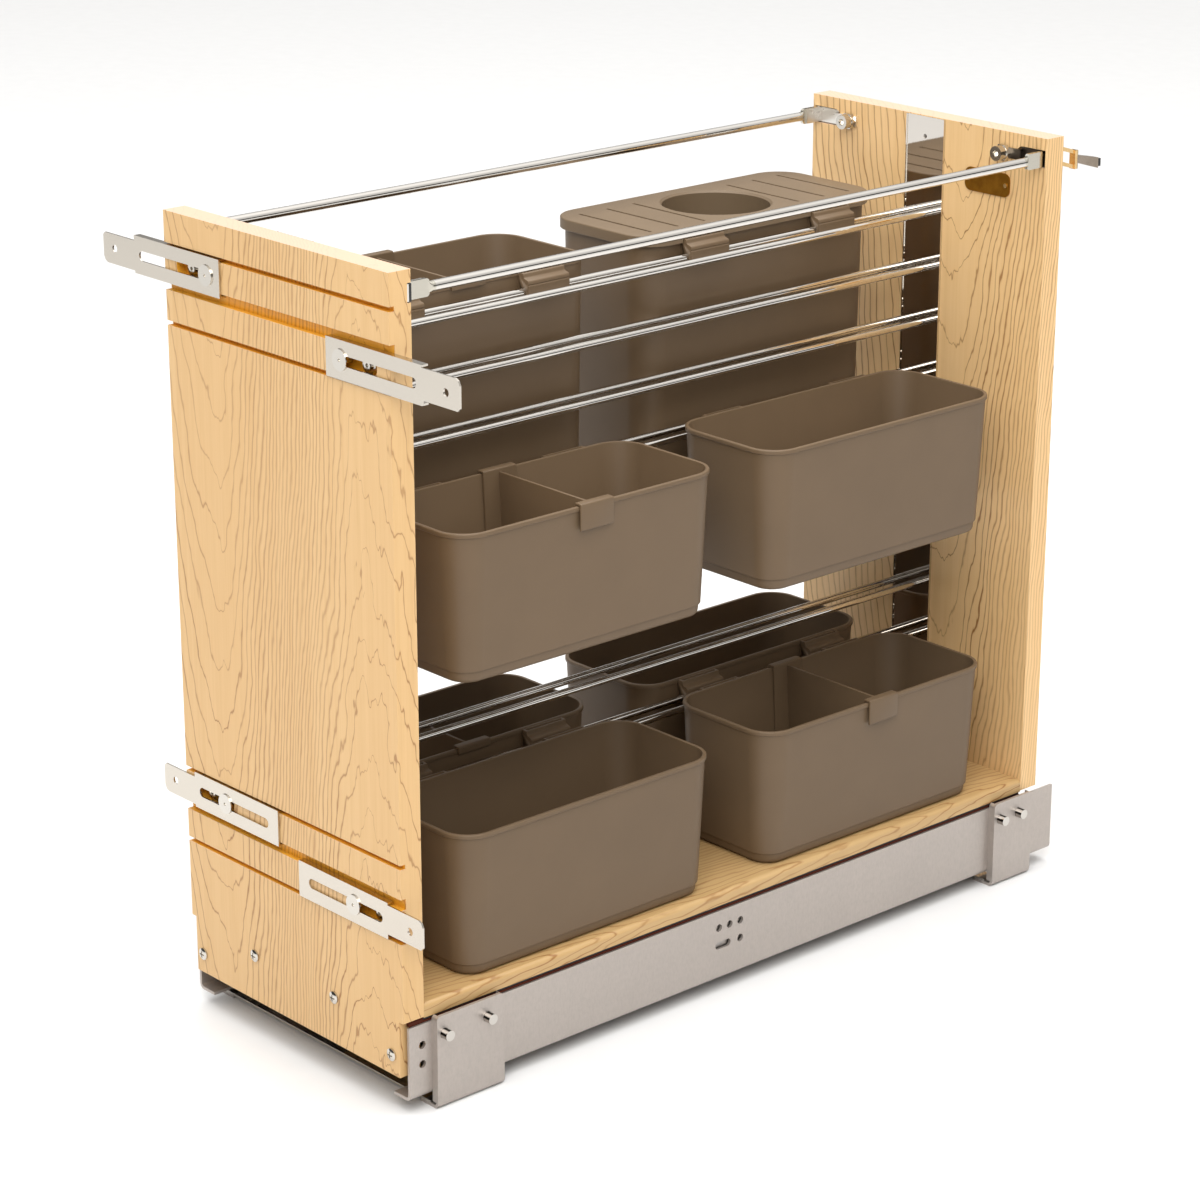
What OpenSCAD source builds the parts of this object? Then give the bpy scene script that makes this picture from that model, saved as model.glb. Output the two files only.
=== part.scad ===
// Pull-out organizer for a narrow base cabinet. A front and a back board stand on a shelf that
// rides on two ball-bearing runners. Pairs of thin rods run down the middle from board to board,
// and plastic bins hang from them or stand on the shelf. Origin: floor level, middle of the
// outer box. +Z is up, the front faces -Y, and +X is the right side seen from the back board.

/* [Boards] */
// Width of the front board, the back board and the shelf
board_w = 216; // [206:1:230]
// Thickness of the front and back boards
board_t = 16; // [14:0.5:19]
// Height of the front and back boards
board_h = 499; // [492:1:560]
// Length from the front board's face to the back board's rear face
organizer_l = 570; // [550:1:600]
// Height of the boards' lower edge above the cabinet floor
board_lift = 25; // [22:0.5:27]
// Thickness of the shelf
shelf_t = 9; // [7:0.5:13]
// Radius on the shelf's long upper edges
shelf_edge_r = 3; // [1:0.5:4]
// Depth of the pockets in the boards for the rail straps
rail_pocket_depth = 5; // [4:0.5:8]
// Height of the pockets in the boards for the rail straps
rail_pocket_h = 11.6; // [10.8:0.2:14]

/* [Door bracket grooves] */
// Height of the middle of the upper wide groove above the floor
upper_groove_z = 478.6; // [460:0.2:482]
// Height of the middle of the lower wide groove above the floor
lower_groove_z = 139.8; // [120:0.2:180]
// Width of the two wide grooves
wide_groove = 7.2; // [6.6:0.1:9]
// Width of the four narrow grooves
narrow_groove = 3; // [2.4:0.1:4]
// Depth of all grooves
groove_depth = 4; // [3.8:0.1:6]

/* [Door brackets] */
// Length of a door bracket
bracket_l = 120; // [110:1:140]
// Length of the flanged part that rides in the grooves
bracket_flange_l = 87; // [80:1:92]
// Height of a door bracket over its flanges
bracket_h = 23.6; // [22:0.2:26]
// Height of the plain end that screws to the door
bracket_neck_h = 18.8; // [16:0.2:20]
// Sheet thickness of a door bracket
bracket_t = 1.2; // [0.8:0.1:1.5]
// Diameter of the hole for the door screw
door_hole_d = 5; // [4:0.1:6]
// Distance from the board's edge to the inner end of an upper bracket
upper_bracket_in = 57; // [48:1:66]
// Distance from the board's edge to the inner end of a lower bracket
lower_bracket_in = 98; // [90:1:104]

/* [Runners] */
// Length of an outer runner member
runner_l = 584; // [575:1:600]
// Height of an outer runner member
runner_h = 49; // [47:0.5:54]
// Height of an outer runner member above the floor
runner_lift = 9; // [7:0.5:12]
// Width of the runner's lower flange
runner_w = 15.6; // [15:0.1:17]
// Sheet thickness of the outer member
runner_t = 2; // [1.6:0.1:2.2]
// Sheet thickness of the middle and inner members
member_t = 1.5; // [1.2:0.1:1.6]
// Diameter of the bearing balls
ball_d = 4; // [3.6:0.1:4.2]
// Balls in each row of a cage
ball_count = 8; // [4:1:12]
// Distance between balls in a row
ball_pitch = 34; // [28:1:36]
// Diameter of the side holes in the outer member
side_hole_d = 5.2; // [4.5:0.1:6]

/* [Floor brackets] */
// Length of the front floor brackets along the runner
front_bracket_l = 53; // [48:1:60]
// Length of the rear floor brackets along the runner
rear_bracket_l = 39; // [38:1:50]
// Height of the floor brackets
floor_bracket_h = 62; // [59:0.5:66]
// Sheet thickness of the floor brackets
floor_bracket_t = 2; // [1.6:0.1:2.4]
// Gap between the runners and the plates of the floor brackets
floor_bracket_gap = 3.3; // [2:0.1:5]
// Width of the flange that lies on the floor
floor_flange_w = 14; // [12:0.5:18]
// Thickness of the plates that cross the cabinet floor
cross_plate_t = 1.6; // [1.2:0.1:2.5]
// Diameter of the floor screw holes in the cross plates
floor_hole_d = 5; // [4:0.1:6]
// Distance between floor screw holes across the cabinet
floor_hole_dx = 120; // [80:1:150]
// Distance between floor screw holes along the cabinet
floor_hole_dy = 22; // [16:1:26]
// Diameter of the pins that hold the runners
pin_d = 7; // [6:0.2:8]
// Length of pin standing out of the bracket
pin_out = 5.5; // [2:0.5:8]

/* [Rods and rails] */
// Diameter of the rods down the middle
rod_d = 5; // [4:0.1:5.4]
// Distance of each rod of a pair from the middle
rod_x = 7.6; // [7.2:0.1:9]
// Height between rod rows
row_pitch = 38.1; // [36.5:0.1:39]
// Width of the polished channels on the boards
channel_w = 34.6; // [32:0.2:44]
// Depth of the channels' side flanges
channel_d = 1.8; // [1.6:0.1:5]
// Sheet thickness of the channels
channel_t = 1.2; // [1:0.1:1.6]
// Diameter of the top rails
rail_d = 6.4; // [5:0.1:7]
// Distance of each top rail inside the board's edge
rail_inset = 4.2; // [3.8:0.1:8]
// Distance of the top rails below the boards' upper edge
rail_drop = 13.8; // [12:0.1:16]
// Distance of each rail bolt inside the board's edge
rail_bolt_inset = 36.5; // [34:0.5:42]
// Diameter of the rail bolt's shank
bolt_d = 5; // [4:0.1:6]

/* [Bins] */
// Distance of a bin's rim inside the board's edge
bin_inset = 2.2; // [1:0.1:8]
// Length of a bin's rim along the cabinet
bin_l = 213; // [200:1:222]
// Height of the six short bins
bin_h = 95.5; // [88:0.5:96]
// Height of the two tall bins
tall_h = 223; // [190:1:250]
// Radius of the rim's corners
bin_corner_r = 21; // [18:0.5:26]
// Wall thickness of the bins
bin_wall = 1.8; // [1.4:0.1:2.4]
// How far the rim stands out of the wall
rim_out = 0.9; // [0.5:0.1:1.2]
// Height of the thick rim
rim_h = 3; // [2:0.5:4]
// How much the walls lean in for each millimetre of height
bin_lean = 0.045; // [0.03:0.005:0.05]
// How much the walls of the tall bins lean in for each millimetre of height
tall_lean = 0.015; // [0.005:0.005:0.03]
// Gap between the front and rear bins
bin_gap = 43; // [36:1:48]
// Distance of the rod's axis below the rim of the bin that hangs on it
rod_below_rim = 12.2; // [11.5:0.1:14]
// Width of a hook
hook_w = 34; // [26:1:40]
// Distance between the two hooks of a bin
hook_pitch = 117; // [100:1:130]
// Height of the step at the foot of a bin
bin_foot_h = 7.5; // [5:0.5:10]
// How far the foot is set in
bin_foot_in = 1.2; // [0.6:0.1:1.8]
// Thickness of a divider
divider_t = 2; // [1.6:0.1:2.6]
// Width of the clips that hold a divider on the rim
clip_w = 26.5; // [20:0.5:34]
// Length of the outer clip's tab
clip_tab = 17; // [10:0.5:20]
// Thickness of the lid's top
lid_t = 3; // [2.4:0.1:4]
// Height of the lid's edge
lid_edge_h = 3.8; // [3.4:0.1:6]
// Diameter of the hole in the lid
lid_hole_d = 73; // [50:1:76]
// Length of the slots in the lid
lid_slot_l = 70; // [40:1:74]
// Distance between slots in the lid
lid_slot_pitch = 24; // [22:0.5:25]

/* [Fittings] */
// Reach of the rear catches behind the back board
catch_reach = 42; // [36:1:48]
// Length of the blank plate on the back board
plate_l = 40; // [30:1:44]
// Height of the blank plate on the back board
plate_h = 16; // [12:0.5:17]

/* [Hidden] */
$fn = 48;

// Clearances
slide_gap = 0.3;
ball_gap = 0.2;
hook_throat = 2.3;
rest_gap = 0.2;
hook_gap = 0.35;
screw_gap = 0.1;
cut = 1;

// Places along the cabinet
screw_head_d = 8;
screw_head_h = 2.2;
clamp_t = 0.9;
bracket_proud = bracket_t + slide_gap;
front_reach = max(bracket_proud + clamp_t, screw_head_h);
front_y = front_reach - (front_reach + organizer_l + catch_reach) / 2;
back_y = front_y + organizer_l;
inner_front_y = front_y + board_t;
inner_back_y = back_y - board_t;
mid_y = (front_y + back_y) / 2;

// Floor brackets along the runner
front_bracket_in = 21.4;
rear_bracket_in = 48.2;
front_pins = [-0.387, 0.252];
rear_pins = [-0.346, 0.136];
pin_z = runner_lift + 40.8;
bend_notch_at = 0.31;
bend_notch_r = 1.7;

// Runner section, from the web inward
runner_out_x = board_w / 2 + slide_gap;
bracket_out_x = runner_out_x + floor_bracket_gap + floor_bracket_t;
bracket_corner_r = 3;
runner_web_x = runner_out_x - runner_t;
runner_bend_r = 4;
runner_top_z = runner_lift + runner_h;
race_gap = ball_d + 2 * ball_gap;
web_space = 2.4;
middle_web_x = runner_web_x - web_space;
middle_low_z = runner_lift + runner_t + race_gap;
middle_top_z = runner_top_z - runner_t - race_gap;
middle_flange_w = 10.1;
inner_low_z = middle_low_z + member_t + race_gap;
inner_top_z = middle_top_z - member_t - race_gap;
inner_space = 2.1;
inner_tip_x = middle_web_x - member_t - inner_space;
runner_tip_x = runner_out_x - runner_w;
inner_web_x = runner_tip_x - 0.3;
inner_foot_w = 19;
member_front_y = inner_front_y + 3;
member_back_y = inner_back_y - 3;
runner_front_y = front_y + 4;
runner_back_y = runner_front_y + runner_l;
outer_ball_x = (runner_tip_x + middle_web_x) / 2;
inner_ball_x = (inner_web_x + inner_tip_x) / 2;
cage_t = 0.8;
inner_cage_shift = 5;
outer_cage_y = mid_y;
inner_cage_y = mid_y + inner_cage_shift;
side_hole_y = [14, 24];
side_hole_z = [44.3, 31.5];
mid_hole_y = [262, 271.6, 281.2];
mid_slot_y = [261.5, 270];
mid_hole_z = [46, 33.5];
hidden_hole_y = 73.3;

// Shelf and board heights
shelf_gap = 3.6;
foot_gap = 2.5;
shelf_low_z = runner_top_z + shelf_gap;
shelf_top_z = shelf_low_z + shelf_t;
notch_z = shelf_low_z + 0.8;
front_foot_x = runner_web_x - foot_gap;
back_foot_x = inner_web_x - member_t - foot_gap;
board_top_z = board_lift + board_h;
shelf_bracket_t = 2;
shelf_bracket_low_z = board_lift + 2;

// Rod rows, counted from the lowest
low_row_z = shelf_top_z + rest_gap + bin_h - rod_below_rim;
row_step = [8, 7, 6, 5, 1, 0];
function row_z(row) = low_row_z + row_step[row - 1] * row_pitch;

// Bins
bin_in_x = rod_x + rod_d / 2 + hook_throat;
bin_w = board_w / 2 - bin_inset - bin_in_x;
bin_x = bin_in_x + bin_w / 2;
bin_y = (bin_l + bin_gap) / 2;
hook_r = rod_d / 2 + hook_gap;
hook_lip = 1.95;
hook_low = 2;
hook_top = 0.6;
hook_side = [[0, 7], [0.9, 5.2], [2.6, 4.2], [6, 2.9]];
bin_floor = 2.2;
bin_foot_edge = 3.5;
shelf_rim_z = shelf_top_z + rest_gap + bin_h;
hanging_rim_z = row_z(4) + rod_below_rim;
tall_rim_z = row_z(1) + rod_below_rim;
clip_gap = 0.3;
clip_t = 1.5;
inner_tab = 5.4;
lid_over = 2.4;
lid_gap = 0.3;
lid_skirt_h = 3.4;
lid_skirt_t = 1.6;
lid_notch_gap = 0.6;
lid_ring_gap = 0.5;
lid_ring_h = 5;
lid_ring_t = 1.5;
lid_slot_w = 1.8;
lid_slot_start = 7;
lid_collar_t = 1.5;
lid_collar_h = 26;

// Screws, holes and small fittings
screw_d = 3.5;
channel_top_gap = 0.4;
channel_lip_t = 0.8;
channel_hole_d = 3;
channel_hole_drop = 14;
shelf_angle_l = 24;
low_screw_z = 38.4;
high_screw_z = shelf_low_z - 5.1;
front_screws_at = [[front_foot_x - 7.2, low_screw_z], [board_w * 0.188, high_screw_z]];
back_screws_at = [[back_foot_x - 16, low_screw_z], [board_w * 0.188, high_screw_z]];
clamp_x = board_w / 2 - 43.7;
clamp_d = 13;
clamp_shank_d = 5.6;
bracket_screw_x = board_w / 2 - 24;
bracket_screw_depth = 13;
recess_x = [clamp_x, board_w / 2 - 18.7];
recess_h = 14;
recess_depth = 6;
pair_gap = 2.4;
flange_reach = 3.2;
rail_flat_t = 2.4;
rail_flat_h = 10.6;
rail_flat_gap = 0.8;
rail_flat_out = 16;
rail_neck_l = 1.5;
strap_t = 1.3;
strap_h = 10.2;
strap_neck_h = 7;
strap_deep = 2.6;
strap_leg_l = 13;
strap_end_r = 6;
rail_x = board_w / 2 - rail_inset;
rail_z = board_top_z - rail_drop;
rail_bolt_x = board_w / 2 - rail_bolt_inset;
pocket_x = [rail_x - 22.8, rail_x + 2.6];
strap_step_x = pocket_x[0] + 5;
bolt_head_d = 10;
bolt_head_l = 5.5;
bolt_collar_w = 12;
bolt_collar_t = 3;
bolt_depth = 12;
catch_bar_drop = 4.6;
catch_tip_drop = 9.8;
catch_tip_l = 3;
plate_t = 0.8;
plate_pin_d = 2;
plate_pin_head_d = 3;
plate_pin_head_t = 0.6;
plate_pin_l = 5.8;
plate_pin_x = plate_l / 2 - 3.5;
plate_x = board_w / 2 - 51;
plate_z = board_top_z - 36.5;

// Mirrors what is drawn for the right side when side is -1
module sided(side) {
    mirror([side < 0 ? 1 : 0, 0, 0]) children();
}

// Mirrors what is drawn for the front end when end is 1
module ended(end) {
    translate([0, mid_y, 0]) mirror([0, end > 0 ? 1 : 0, 0]) translate([0, -mid_y, 0]) children();
}

// Extrudes an (x, z) outline from y0 to y1
module along_y(y0, y1) {
    translate([0, y1, 0]) rotate([90, 0, 0]) linear_extrude(y1 - y0) children();
}

// Extrudes a (y, z) outline from x0 to x1
module along_x(x0, x1) {
    translate([x0, 0, 0]) rotate([90, 0, 90]) linear_extrude(x1 - x0) children();
}

// A box given by its low and high corners
module span(low, high) {
    translate(low) cube(high - low);
}

// A cylinder along Y from y0 to y1
module rod_y(d, x, z, y0, y1) {
    translate([x, y0, z]) rotate([-90, 0, 0]) cylinder(d = d, h = y1 - y0);
}

// A cylinder along X from x0 to x1
module rod_across(d, y, z, x0, x1) {
    translate([x0, y, z]) rotate([0, 90, 0]) cylinder(d = d, h = x1 - x0);
}

module rounded_rect(w, l, r) {
    for (x = [-1, 1], y = [-1, 1]) {
        translate([x * (w / 2 - r), y * (l / 2 - r)]) circle(r = r, $fn = 32);
    }
    square([w - 2 * r, l], center = true);
    square([w, l - 2 * r], center = true);
}

// Bent L of sheet: outer face at x = 0, flange of width w at the bottom, web of height h
module l_profile(w, h, t, r) {
    difference() {
        union() {
            translate([-t, r]) square([t, h - r]);
            translate([-w, 0]) square([w - r, t]);
            translate([-r, r]) intersection() {
                circle(r = r);
                translate([0, -r]) square(r);
            }
        }
        translate([-r, r]) circle(r = r - t);
    }
}

// Floor brackets and cross plates
front_bracket_y = front_y + front_bracket_in;
rear_bracket_y = back_y - rear_bracket_in;

module floor_bracket(side, y0, len, pins) {
    middle_y = y0 + len / 2;
    color("silver") sided(side) difference() {
        union() {
            translate([bracket_out_x, 0, 0]) along_y(y0, y0 + len)
                l_profile(floor_flange_w + floor_bracket_gap, floor_bracket_h,
                    floor_bracket_t, runner_bend_r);
            for (y = [y0, y0 + len - floor_bracket_t]) {
                span([runner_out_x, y, runner_bend_r],
                    [bracket_out_x - cut, y + floor_bracket_t, floor_bracket_h]);
            }
        }
        for (share = pins) {
            rod_across(pin_d, middle_y + share * len, pin_z, runner_out_x - cut,
                bracket_out_x + cut);
        }
        for (s = [-1, 1]) {
            rod_across(2 * bend_notch_r, middle_y + s * bend_notch_at * len, 0,
                bracket_out_x - floor_bracket_t - cut, bracket_out_x + cut);
            top_corner_cut(middle_y, s, len / 2);
        }
    }
}

// What is cut off to round a floor bracket's upper corner
module top_corner_cut(middle_y, s, half) {
    corner_y = middle_y + s * (half - bracket_corner_r);
    corner_z = floor_bracket_h - bracket_corner_r;
    end_y = middle_y + s * (half + cut);
    difference() {
        span([runner_out_x - cut, min(corner_y, end_y), corner_z],
            [bracket_out_x + cut, max(corner_y, end_y), floor_bracket_h + cut]);
        rod_across(2 * bracket_corner_r, corner_y, corner_z, runner_out_x - 2 * cut,
            bracket_out_x + 2 * cut);
    }
}

module bracket_pins() {
    color("gainsboro") for (side = [-1, 1], b = [[front_bracket_y, front_bracket_l, front_pins],
            [rear_bracket_y, rear_bracket_l, rear_pins]], share = [0, 1]) {
        sided(side) rod_across(pin_d - 2 * screw_gap, b[0] + (0.5 + b[2][share]) * b[1],
            pin_z, runner_out_x, bracket_out_x + pin_out);
    }
}

module cross_plate(y0, len) {
    half_w = runner_out_x + floor_bracket_t - runner_bend_r - screw_gap;
    color("white") difference() {
        span([-half_w, y0, floor_bracket_t], [half_w, y0 + len, floor_bracket_t + cross_plate_t]);
        for (x = [-1, 1], y = [-1, 1]) {
            translate([x * floor_hole_dx / 2, y0 + len / 2 + y * floor_hole_dy / 2, 0])
                cylinder(d = floor_hole_d, h = floor_bracket_t + cross_plate_t + cut);
        }
    }
}

// Runner members, drawn for the right side
module runner_outer(side) {
    color("silver") sided(side) difference() {
        union() {
            translate([runner_out_x, 0, runner_lift])
                along_y(runner_front_y, runner_back_y)
                    l_profile(runner_w, runner_h, runner_t, runner_bend_r);
            span([runner_tip_x, member_front_y, runner_top_z - runner_t],
                [runner_web_x + cut, member_back_y, runner_top_z]);
        }
        for (y = side_hole_y, z = side_hole_z) {
            rod_across(side_hole_d, front_y + y, z, runner_web_x - cut, runner_out_x + cut);
        }
        for (y = mid_hole_y) {
            rod_across(side_hole_d, front_y + y, mid_hole_z[0], runner_web_x - cut,
                runner_out_x + cut);
        }
        for (z = mid_hole_z) {
            rod_across(side_hole_d, front_y + hidden_hole_y, z, runner_web_x - cut,
                runner_out_x + cut);
        }
        rod_across(side_hole_d, front_y + mid_hole_y[2], mid_hole_z[1], runner_web_x - cut,
            runner_out_x + cut);
        for (y = mid_slot_y) {
            rod_across(side_hole_d, front_y + y, mid_hole_z[1], runner_web_x - cut,
                runner_out_x + cut);
        }
        span([runner_web_x - cut, front_y + mid_slot_y[0], mid_hole_z[1] - side_hole_d / 2],
            [runner_out_x + cut, front_y + mid_slot_y[1], mid_hole_z[1] + side_hole_d / 2]);
    }
}

module runner_middle(side) {
    tip_x = middle_web_x - middle_flange_w;
    color("lightgray") sided(side) along_y(member_front_y, member_back_y) {
        translate([middle_web_x - member_t, middle_low_z])
            square([member_t, middle_top_z - middle_low_z]);
        translate([tip_x, middle_low_z]) square([middle_flange_w, member_t]);
        translate([tip_x, middle_top_z - member_t]) square([middle_flange_w, member_t]);
    }
}

module runner_inner(side) {
    color("lightgray") sided(side) along_y(member_front_y, member_back_y) {
        translate([inner_web_x - member_t, inner_low_z])
            square([member_t, shelf_low_z - inner_low_z]);
        translate([inner_web_x - cut, inner_low_z])
            square([inner_tip_x - inner_web_x + cut, member_t]);
        translate([inner_web_x - cut, inner_top_z - member_t])
            square([inner_tip_x - inner_web_x + cut, member_t]);
        translate([inner_web_x - inner_foot_w, shelf_low_z - member_t])
            square([inner_foot_w, member_t]);
    }
}

// A bent strip that keeps two rows of balls apart: its web stands at web_x, and the balls
// run in the two gaps of height race_gap that start at low_z and at top_z
module ball_cage(side, y0, web_x, ball_x, low_z, top_z) {
    half_l = ball_pitch * ball_count / 2;
    low_ball_z = low_z + race_gap / 2;
    top_ball_z = top_z + race_gap / 2;
    leg_x = ball_x - ball_d / 2 - 1;
    color("dimgray") sided(side) {
        difference() {
            along_y(y0 - half_l, y0 + half_l) {
                translate([web_x, low_ball_z - cage_t / 2])
                    square([cage_t, top_ball_z - low_ball_z + cage_t]);
                translate([leg_x, low_ball_z - cage_t / 2])
                    square([web_x - leg_x + cage_t, cage_t]);
                translate([leg_x, top_ball_z - cage_t / 2])
                    square([web_x - leg_x + cage_t, cage_t]);
            }
            for (i = [0 : ball_count - 1], z = [low_ball_z, top_ball_z]) {
                translate([ball_x, y0 + (i - (ball_count - 1) / 2) * ball_pitch, z - cut])
                    cylinder(d = ball_d + 2 * screw_gap, h = 2 * cut);
            }
        }
        for (i = [0 : ball_count - 1], z = [low_ball_z, top_ball_z]) {
            translate([ball_x, y0 + (i - (ball_count - 1) / 2) * ball_pitch, z])
                sphere(d = ball_d, $fn = 24);
        }
    }
}

module ball_cage_outer(side) {
    ball_cage(side, outer_cage_y, middle_web_x + (web_space - cage_t) / 2, outer_ball_x,
        runner_lift + runner_t, middle_top_z);
}

module ball_cage_inner(side) {
    ball_cage(side, inner_cage_y, inner_tip_x + (inner_space - cage_t) / 2, inner_ball_x,
        middle_low_z + member_t, inner_top_z);
}

// Outline of a board: full width above the notch, narrower foot below it
module board_outline(foot_x) {
    translate([-board_w / 2, notch_z]) square([board_w, board_top_z - notch_z]);
    translate([-foot_x, board_lift]) square([2 * foot_x, notch_z - board_lift + cut]);
}

// Holes that both boards have for the rail straps and bolts, drawn at the front board
module rail_cuts() {
    for (side = [-1, 1]) {
        sided(side) {
            span([pocket_x[0] + rail_pocket_h / 2, inner_front_y - rail_pocket_depth,
                rail_z - rail_pocket_h / 2],
                [pocket_x[1], inner_front_y + cut, rail_z + rail_pocket_h / 2]);
            rod_y(rail_pocket_h, pocket_x[0] + rail_pocket_h / 2, rail_z,
                inner_front_y - rail_pocket_depth, inner_front_y + cut);
            rod_y(bolt_d + 2 * screw_gap, rail_bolt_x, rail_z,
                inner_front_y - bolt_depth - screw_gap, inner_front_y + cut);
        }
    }
}

// Height of the middle of a door bracket: upper and lower bracket of the pair at groove_z
function bracket_mid_z(groove_z, up) = groove_z + up * (pair_gap / 2 + bracket_h / 2);

module front_board() {
    color("burlywood") difference() {
        along_y(front_y, inner_front_y) board_outline(front_foot_x);
        for (z = [upper_groove_z, lower_groove_z]) {
            span([-board_w / 2 - cut, front_y - cut, z - wide_groove / 2],
                [board_w / 2 + cut, front_y + groove_depth, z + wide_groove / 2]);
            for (up = [-1, 1]) {
                flange_z = z + up * (pair_gap / 2 + bracket_h - bracket_t / 2);
                span([-board_w / 2 - cut, front_y - cut, flange_z - narrow_groove / 2],
                    [board_w / 2 + cut, front_y + groove_depth, flange_z + narrow_groove / 2]);
            }
        }
        for (z = [upper_groove_z, lower_groove_z], side = [-1, 1]) {
            mid_z = bracket_mid_z(z, -side);
            sided(side) {
                span([recess_x[0], front_y - cut, mid_z - recess_h / 2],
                    [recess_x[1], front_y + recess_depth, mid_z + recess_h / 2]);
                for (x = recess_x) {
                    rod_y(recess_h, x, mid_z, front_y - cut, front_y + recess_depth);
                }
                rod_y(screw_d + 2 * screw_gap, bracket_screw_x, mid_z, front_y,
                    front_y + bracket_screw_depth + screw_gap);
                rod_y(clamp_shank_d + 2 * screw_gap, clamp_x, mid_z, front_y,
                    front_y + bracket_screw_depth + screw_gap);
            }
        }
        for (p = front_screws_at, side = [-1, 1]) {
            rod_y(screw_d + 2 * screw_gap, side * p[0], p[1], front_y - cut, inner_front_y + cut);
        }
        rail_cuts();
        for (side = [-1, 1]) {
            sided(side) span([pocket_x[1] - cut, inner_front_y - strap_deep,
                rail_z - rail_pocket_h / 2],
                [board_w / 2 + cut, inner_front_y + cut, rail_z + rail_pocket_h / 2]);
        }
    }
}

module back_board() {
    color("burlywood") difference() {
        along_y(inner_back_y, back_y) board_outline(back_foot_x);
        for (p = back_screws_at, side = [-1, 1]) {
            rod_y(screw_d + 2 * screw_gap, side * p[0], p[1], inner_back_y - cut, back_y + cut);
        }
        ended(1) rail_cuts();
        for (s = [-1, 1]) {
            rod_y(plate_pin_d + 2 * screw_gap, plate_x + s * plate_pin_x, plate_z,
                inner_back_y - cut, inner_back_y + plate_pin_l + screw_gap);
        }
    }
}

module base_shelf() {
    color("wheat") along_y(inner_front_y, inner_back_y) {
        translate([-board_w / 2, shelf_low_z]) square([board_w, shelf_t - shelf_edge_r]);
        translate([-board_w / 2 + shelf_edge_r, shelf_low_z])
            square([board_w - 2 * shelf_edge_r, shelf_t]);
        for (s = [-1, 1]) {
            translate([s * (board_w / 2 - shelf_edge_r), shelf_top_z - shelf_edge_r])
                circle(r = shelf_edge_r);
        }
    }
}

// Angle under the shelf that a board is screwed to, drawn at the front
module shelf_bracket(end, half_w, holes) {
    top_half_w = inner_web_x - inner_foot_w - 3;
    color("silver") ended(end) difference() {
        union() {
            span([-half_w, inner_front_y, shelf_bracket_low_z],
                [half_w, inner_front_y + shelf_bracket_t, shelf_low_z - screw_gap]);
            span([-top_half_w, inner_front_y, shelf_low_z - shelf_bracket_t],
                [top_half_w, inner_front_y + shelf_angle_l, shelf_low_z]);
        }
        for (p = holes, side = [-1, 1]) {
            rod_y(screw_d + 2 * screw_gap, side * p[0], p[1], inner_front_y - cut,
                inner_front_y + shelf_bracket_t + cut);
        }
    }
}

module channel(end) {
    color("lightsteelblue") ended(end) difference() {
        union() {
            span([-channel_w / 2, inner_front_y, shelf_top_z],
                [channel_w / 2, inner_front_y + channel_t, board_top_z - channel_top_gap]);
            for (s = [-1, 1]) {
                translate([s * (channel_w - channel_lip_t) / 2, 0, 0])
                    span([-channel_lip_t / 2, inner_front_y, shelf_top_z],
                        [channel_lip_t / 2, inner_front_y + channel_d,
                        board_top_z - channel_top_gap]);
            }
        }
        for (row = [1 : 6], s = [-1, 1]) {
            rod_y(rod_d + 2 * screw_gap, s * rod_x, row_z(row), inner_front_y - cut,
                inner_front_y + channel_t + cut);
        }
        rod_y(channel_hole_d, 0, board_top_z - channel_hole_drop, inner_front_y - cut,
            inner_front_y + channel_t + cut);
    }
}

module rod_row(row) {
    color("white") for (s = [-1, 1]) {
        rod_y(rod_d, s * rod_x, row_z(row), inner_front_y, inner_back_y);
    }
}

// Top rail: a round rod whose ends are flattened into upright tabs
module top_rail(side) {
    tab_y0 = inner_front_y + rail_flat_gap;
    tab_y1 = inner_front_y + rail_flat_out;
    corner_r = 2;
    color("white") sided(side) {
        rod_y(rail_d, rail_x, rail_z, tab_y1 + rail_neck_l,
            inner_back_y - rail_flat_out - rail_neck_l);
        for (end = [-1, 1]) {
            ended(end) {
                along_x(rail_x - rail_flat_t / 2, rail_x + rail_flat_t / 2) {
                    translate([tab_y0, rail_z - rail_flat_h / 2])
                        square([tab_y1 - corner_r - tab_y0, rail_flat_h]);
                    translate([tab_y0, rail_z - rail_flat_h / 2 + corner_r])
                        square([tab_y1 - tab_y0, rail_flat_h - 2 * corner_r]);
                    for (s = [-1, 1]) {
                        translate([tab_y1 - corner_r, rail_z + s * (rail_flat_h / 2 - corner_r)])
                            circle(r = corner_r);
                    }
                }
                hull() {
                    translate([rail_x - rail_flat_t / 2, tab_y1 - 1, rail_z - rail_d / 2])
                        cube([rail_flat_t, 1, rail_d]);
                    translate([rail_x, tab_y1 + rail_neck_l, rail_z])
                        rotate([-90, 0, 0]) cylinder(d = rail_d, h = 0.5, $fn = 32);
                }
            }
        }
    }
}

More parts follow.
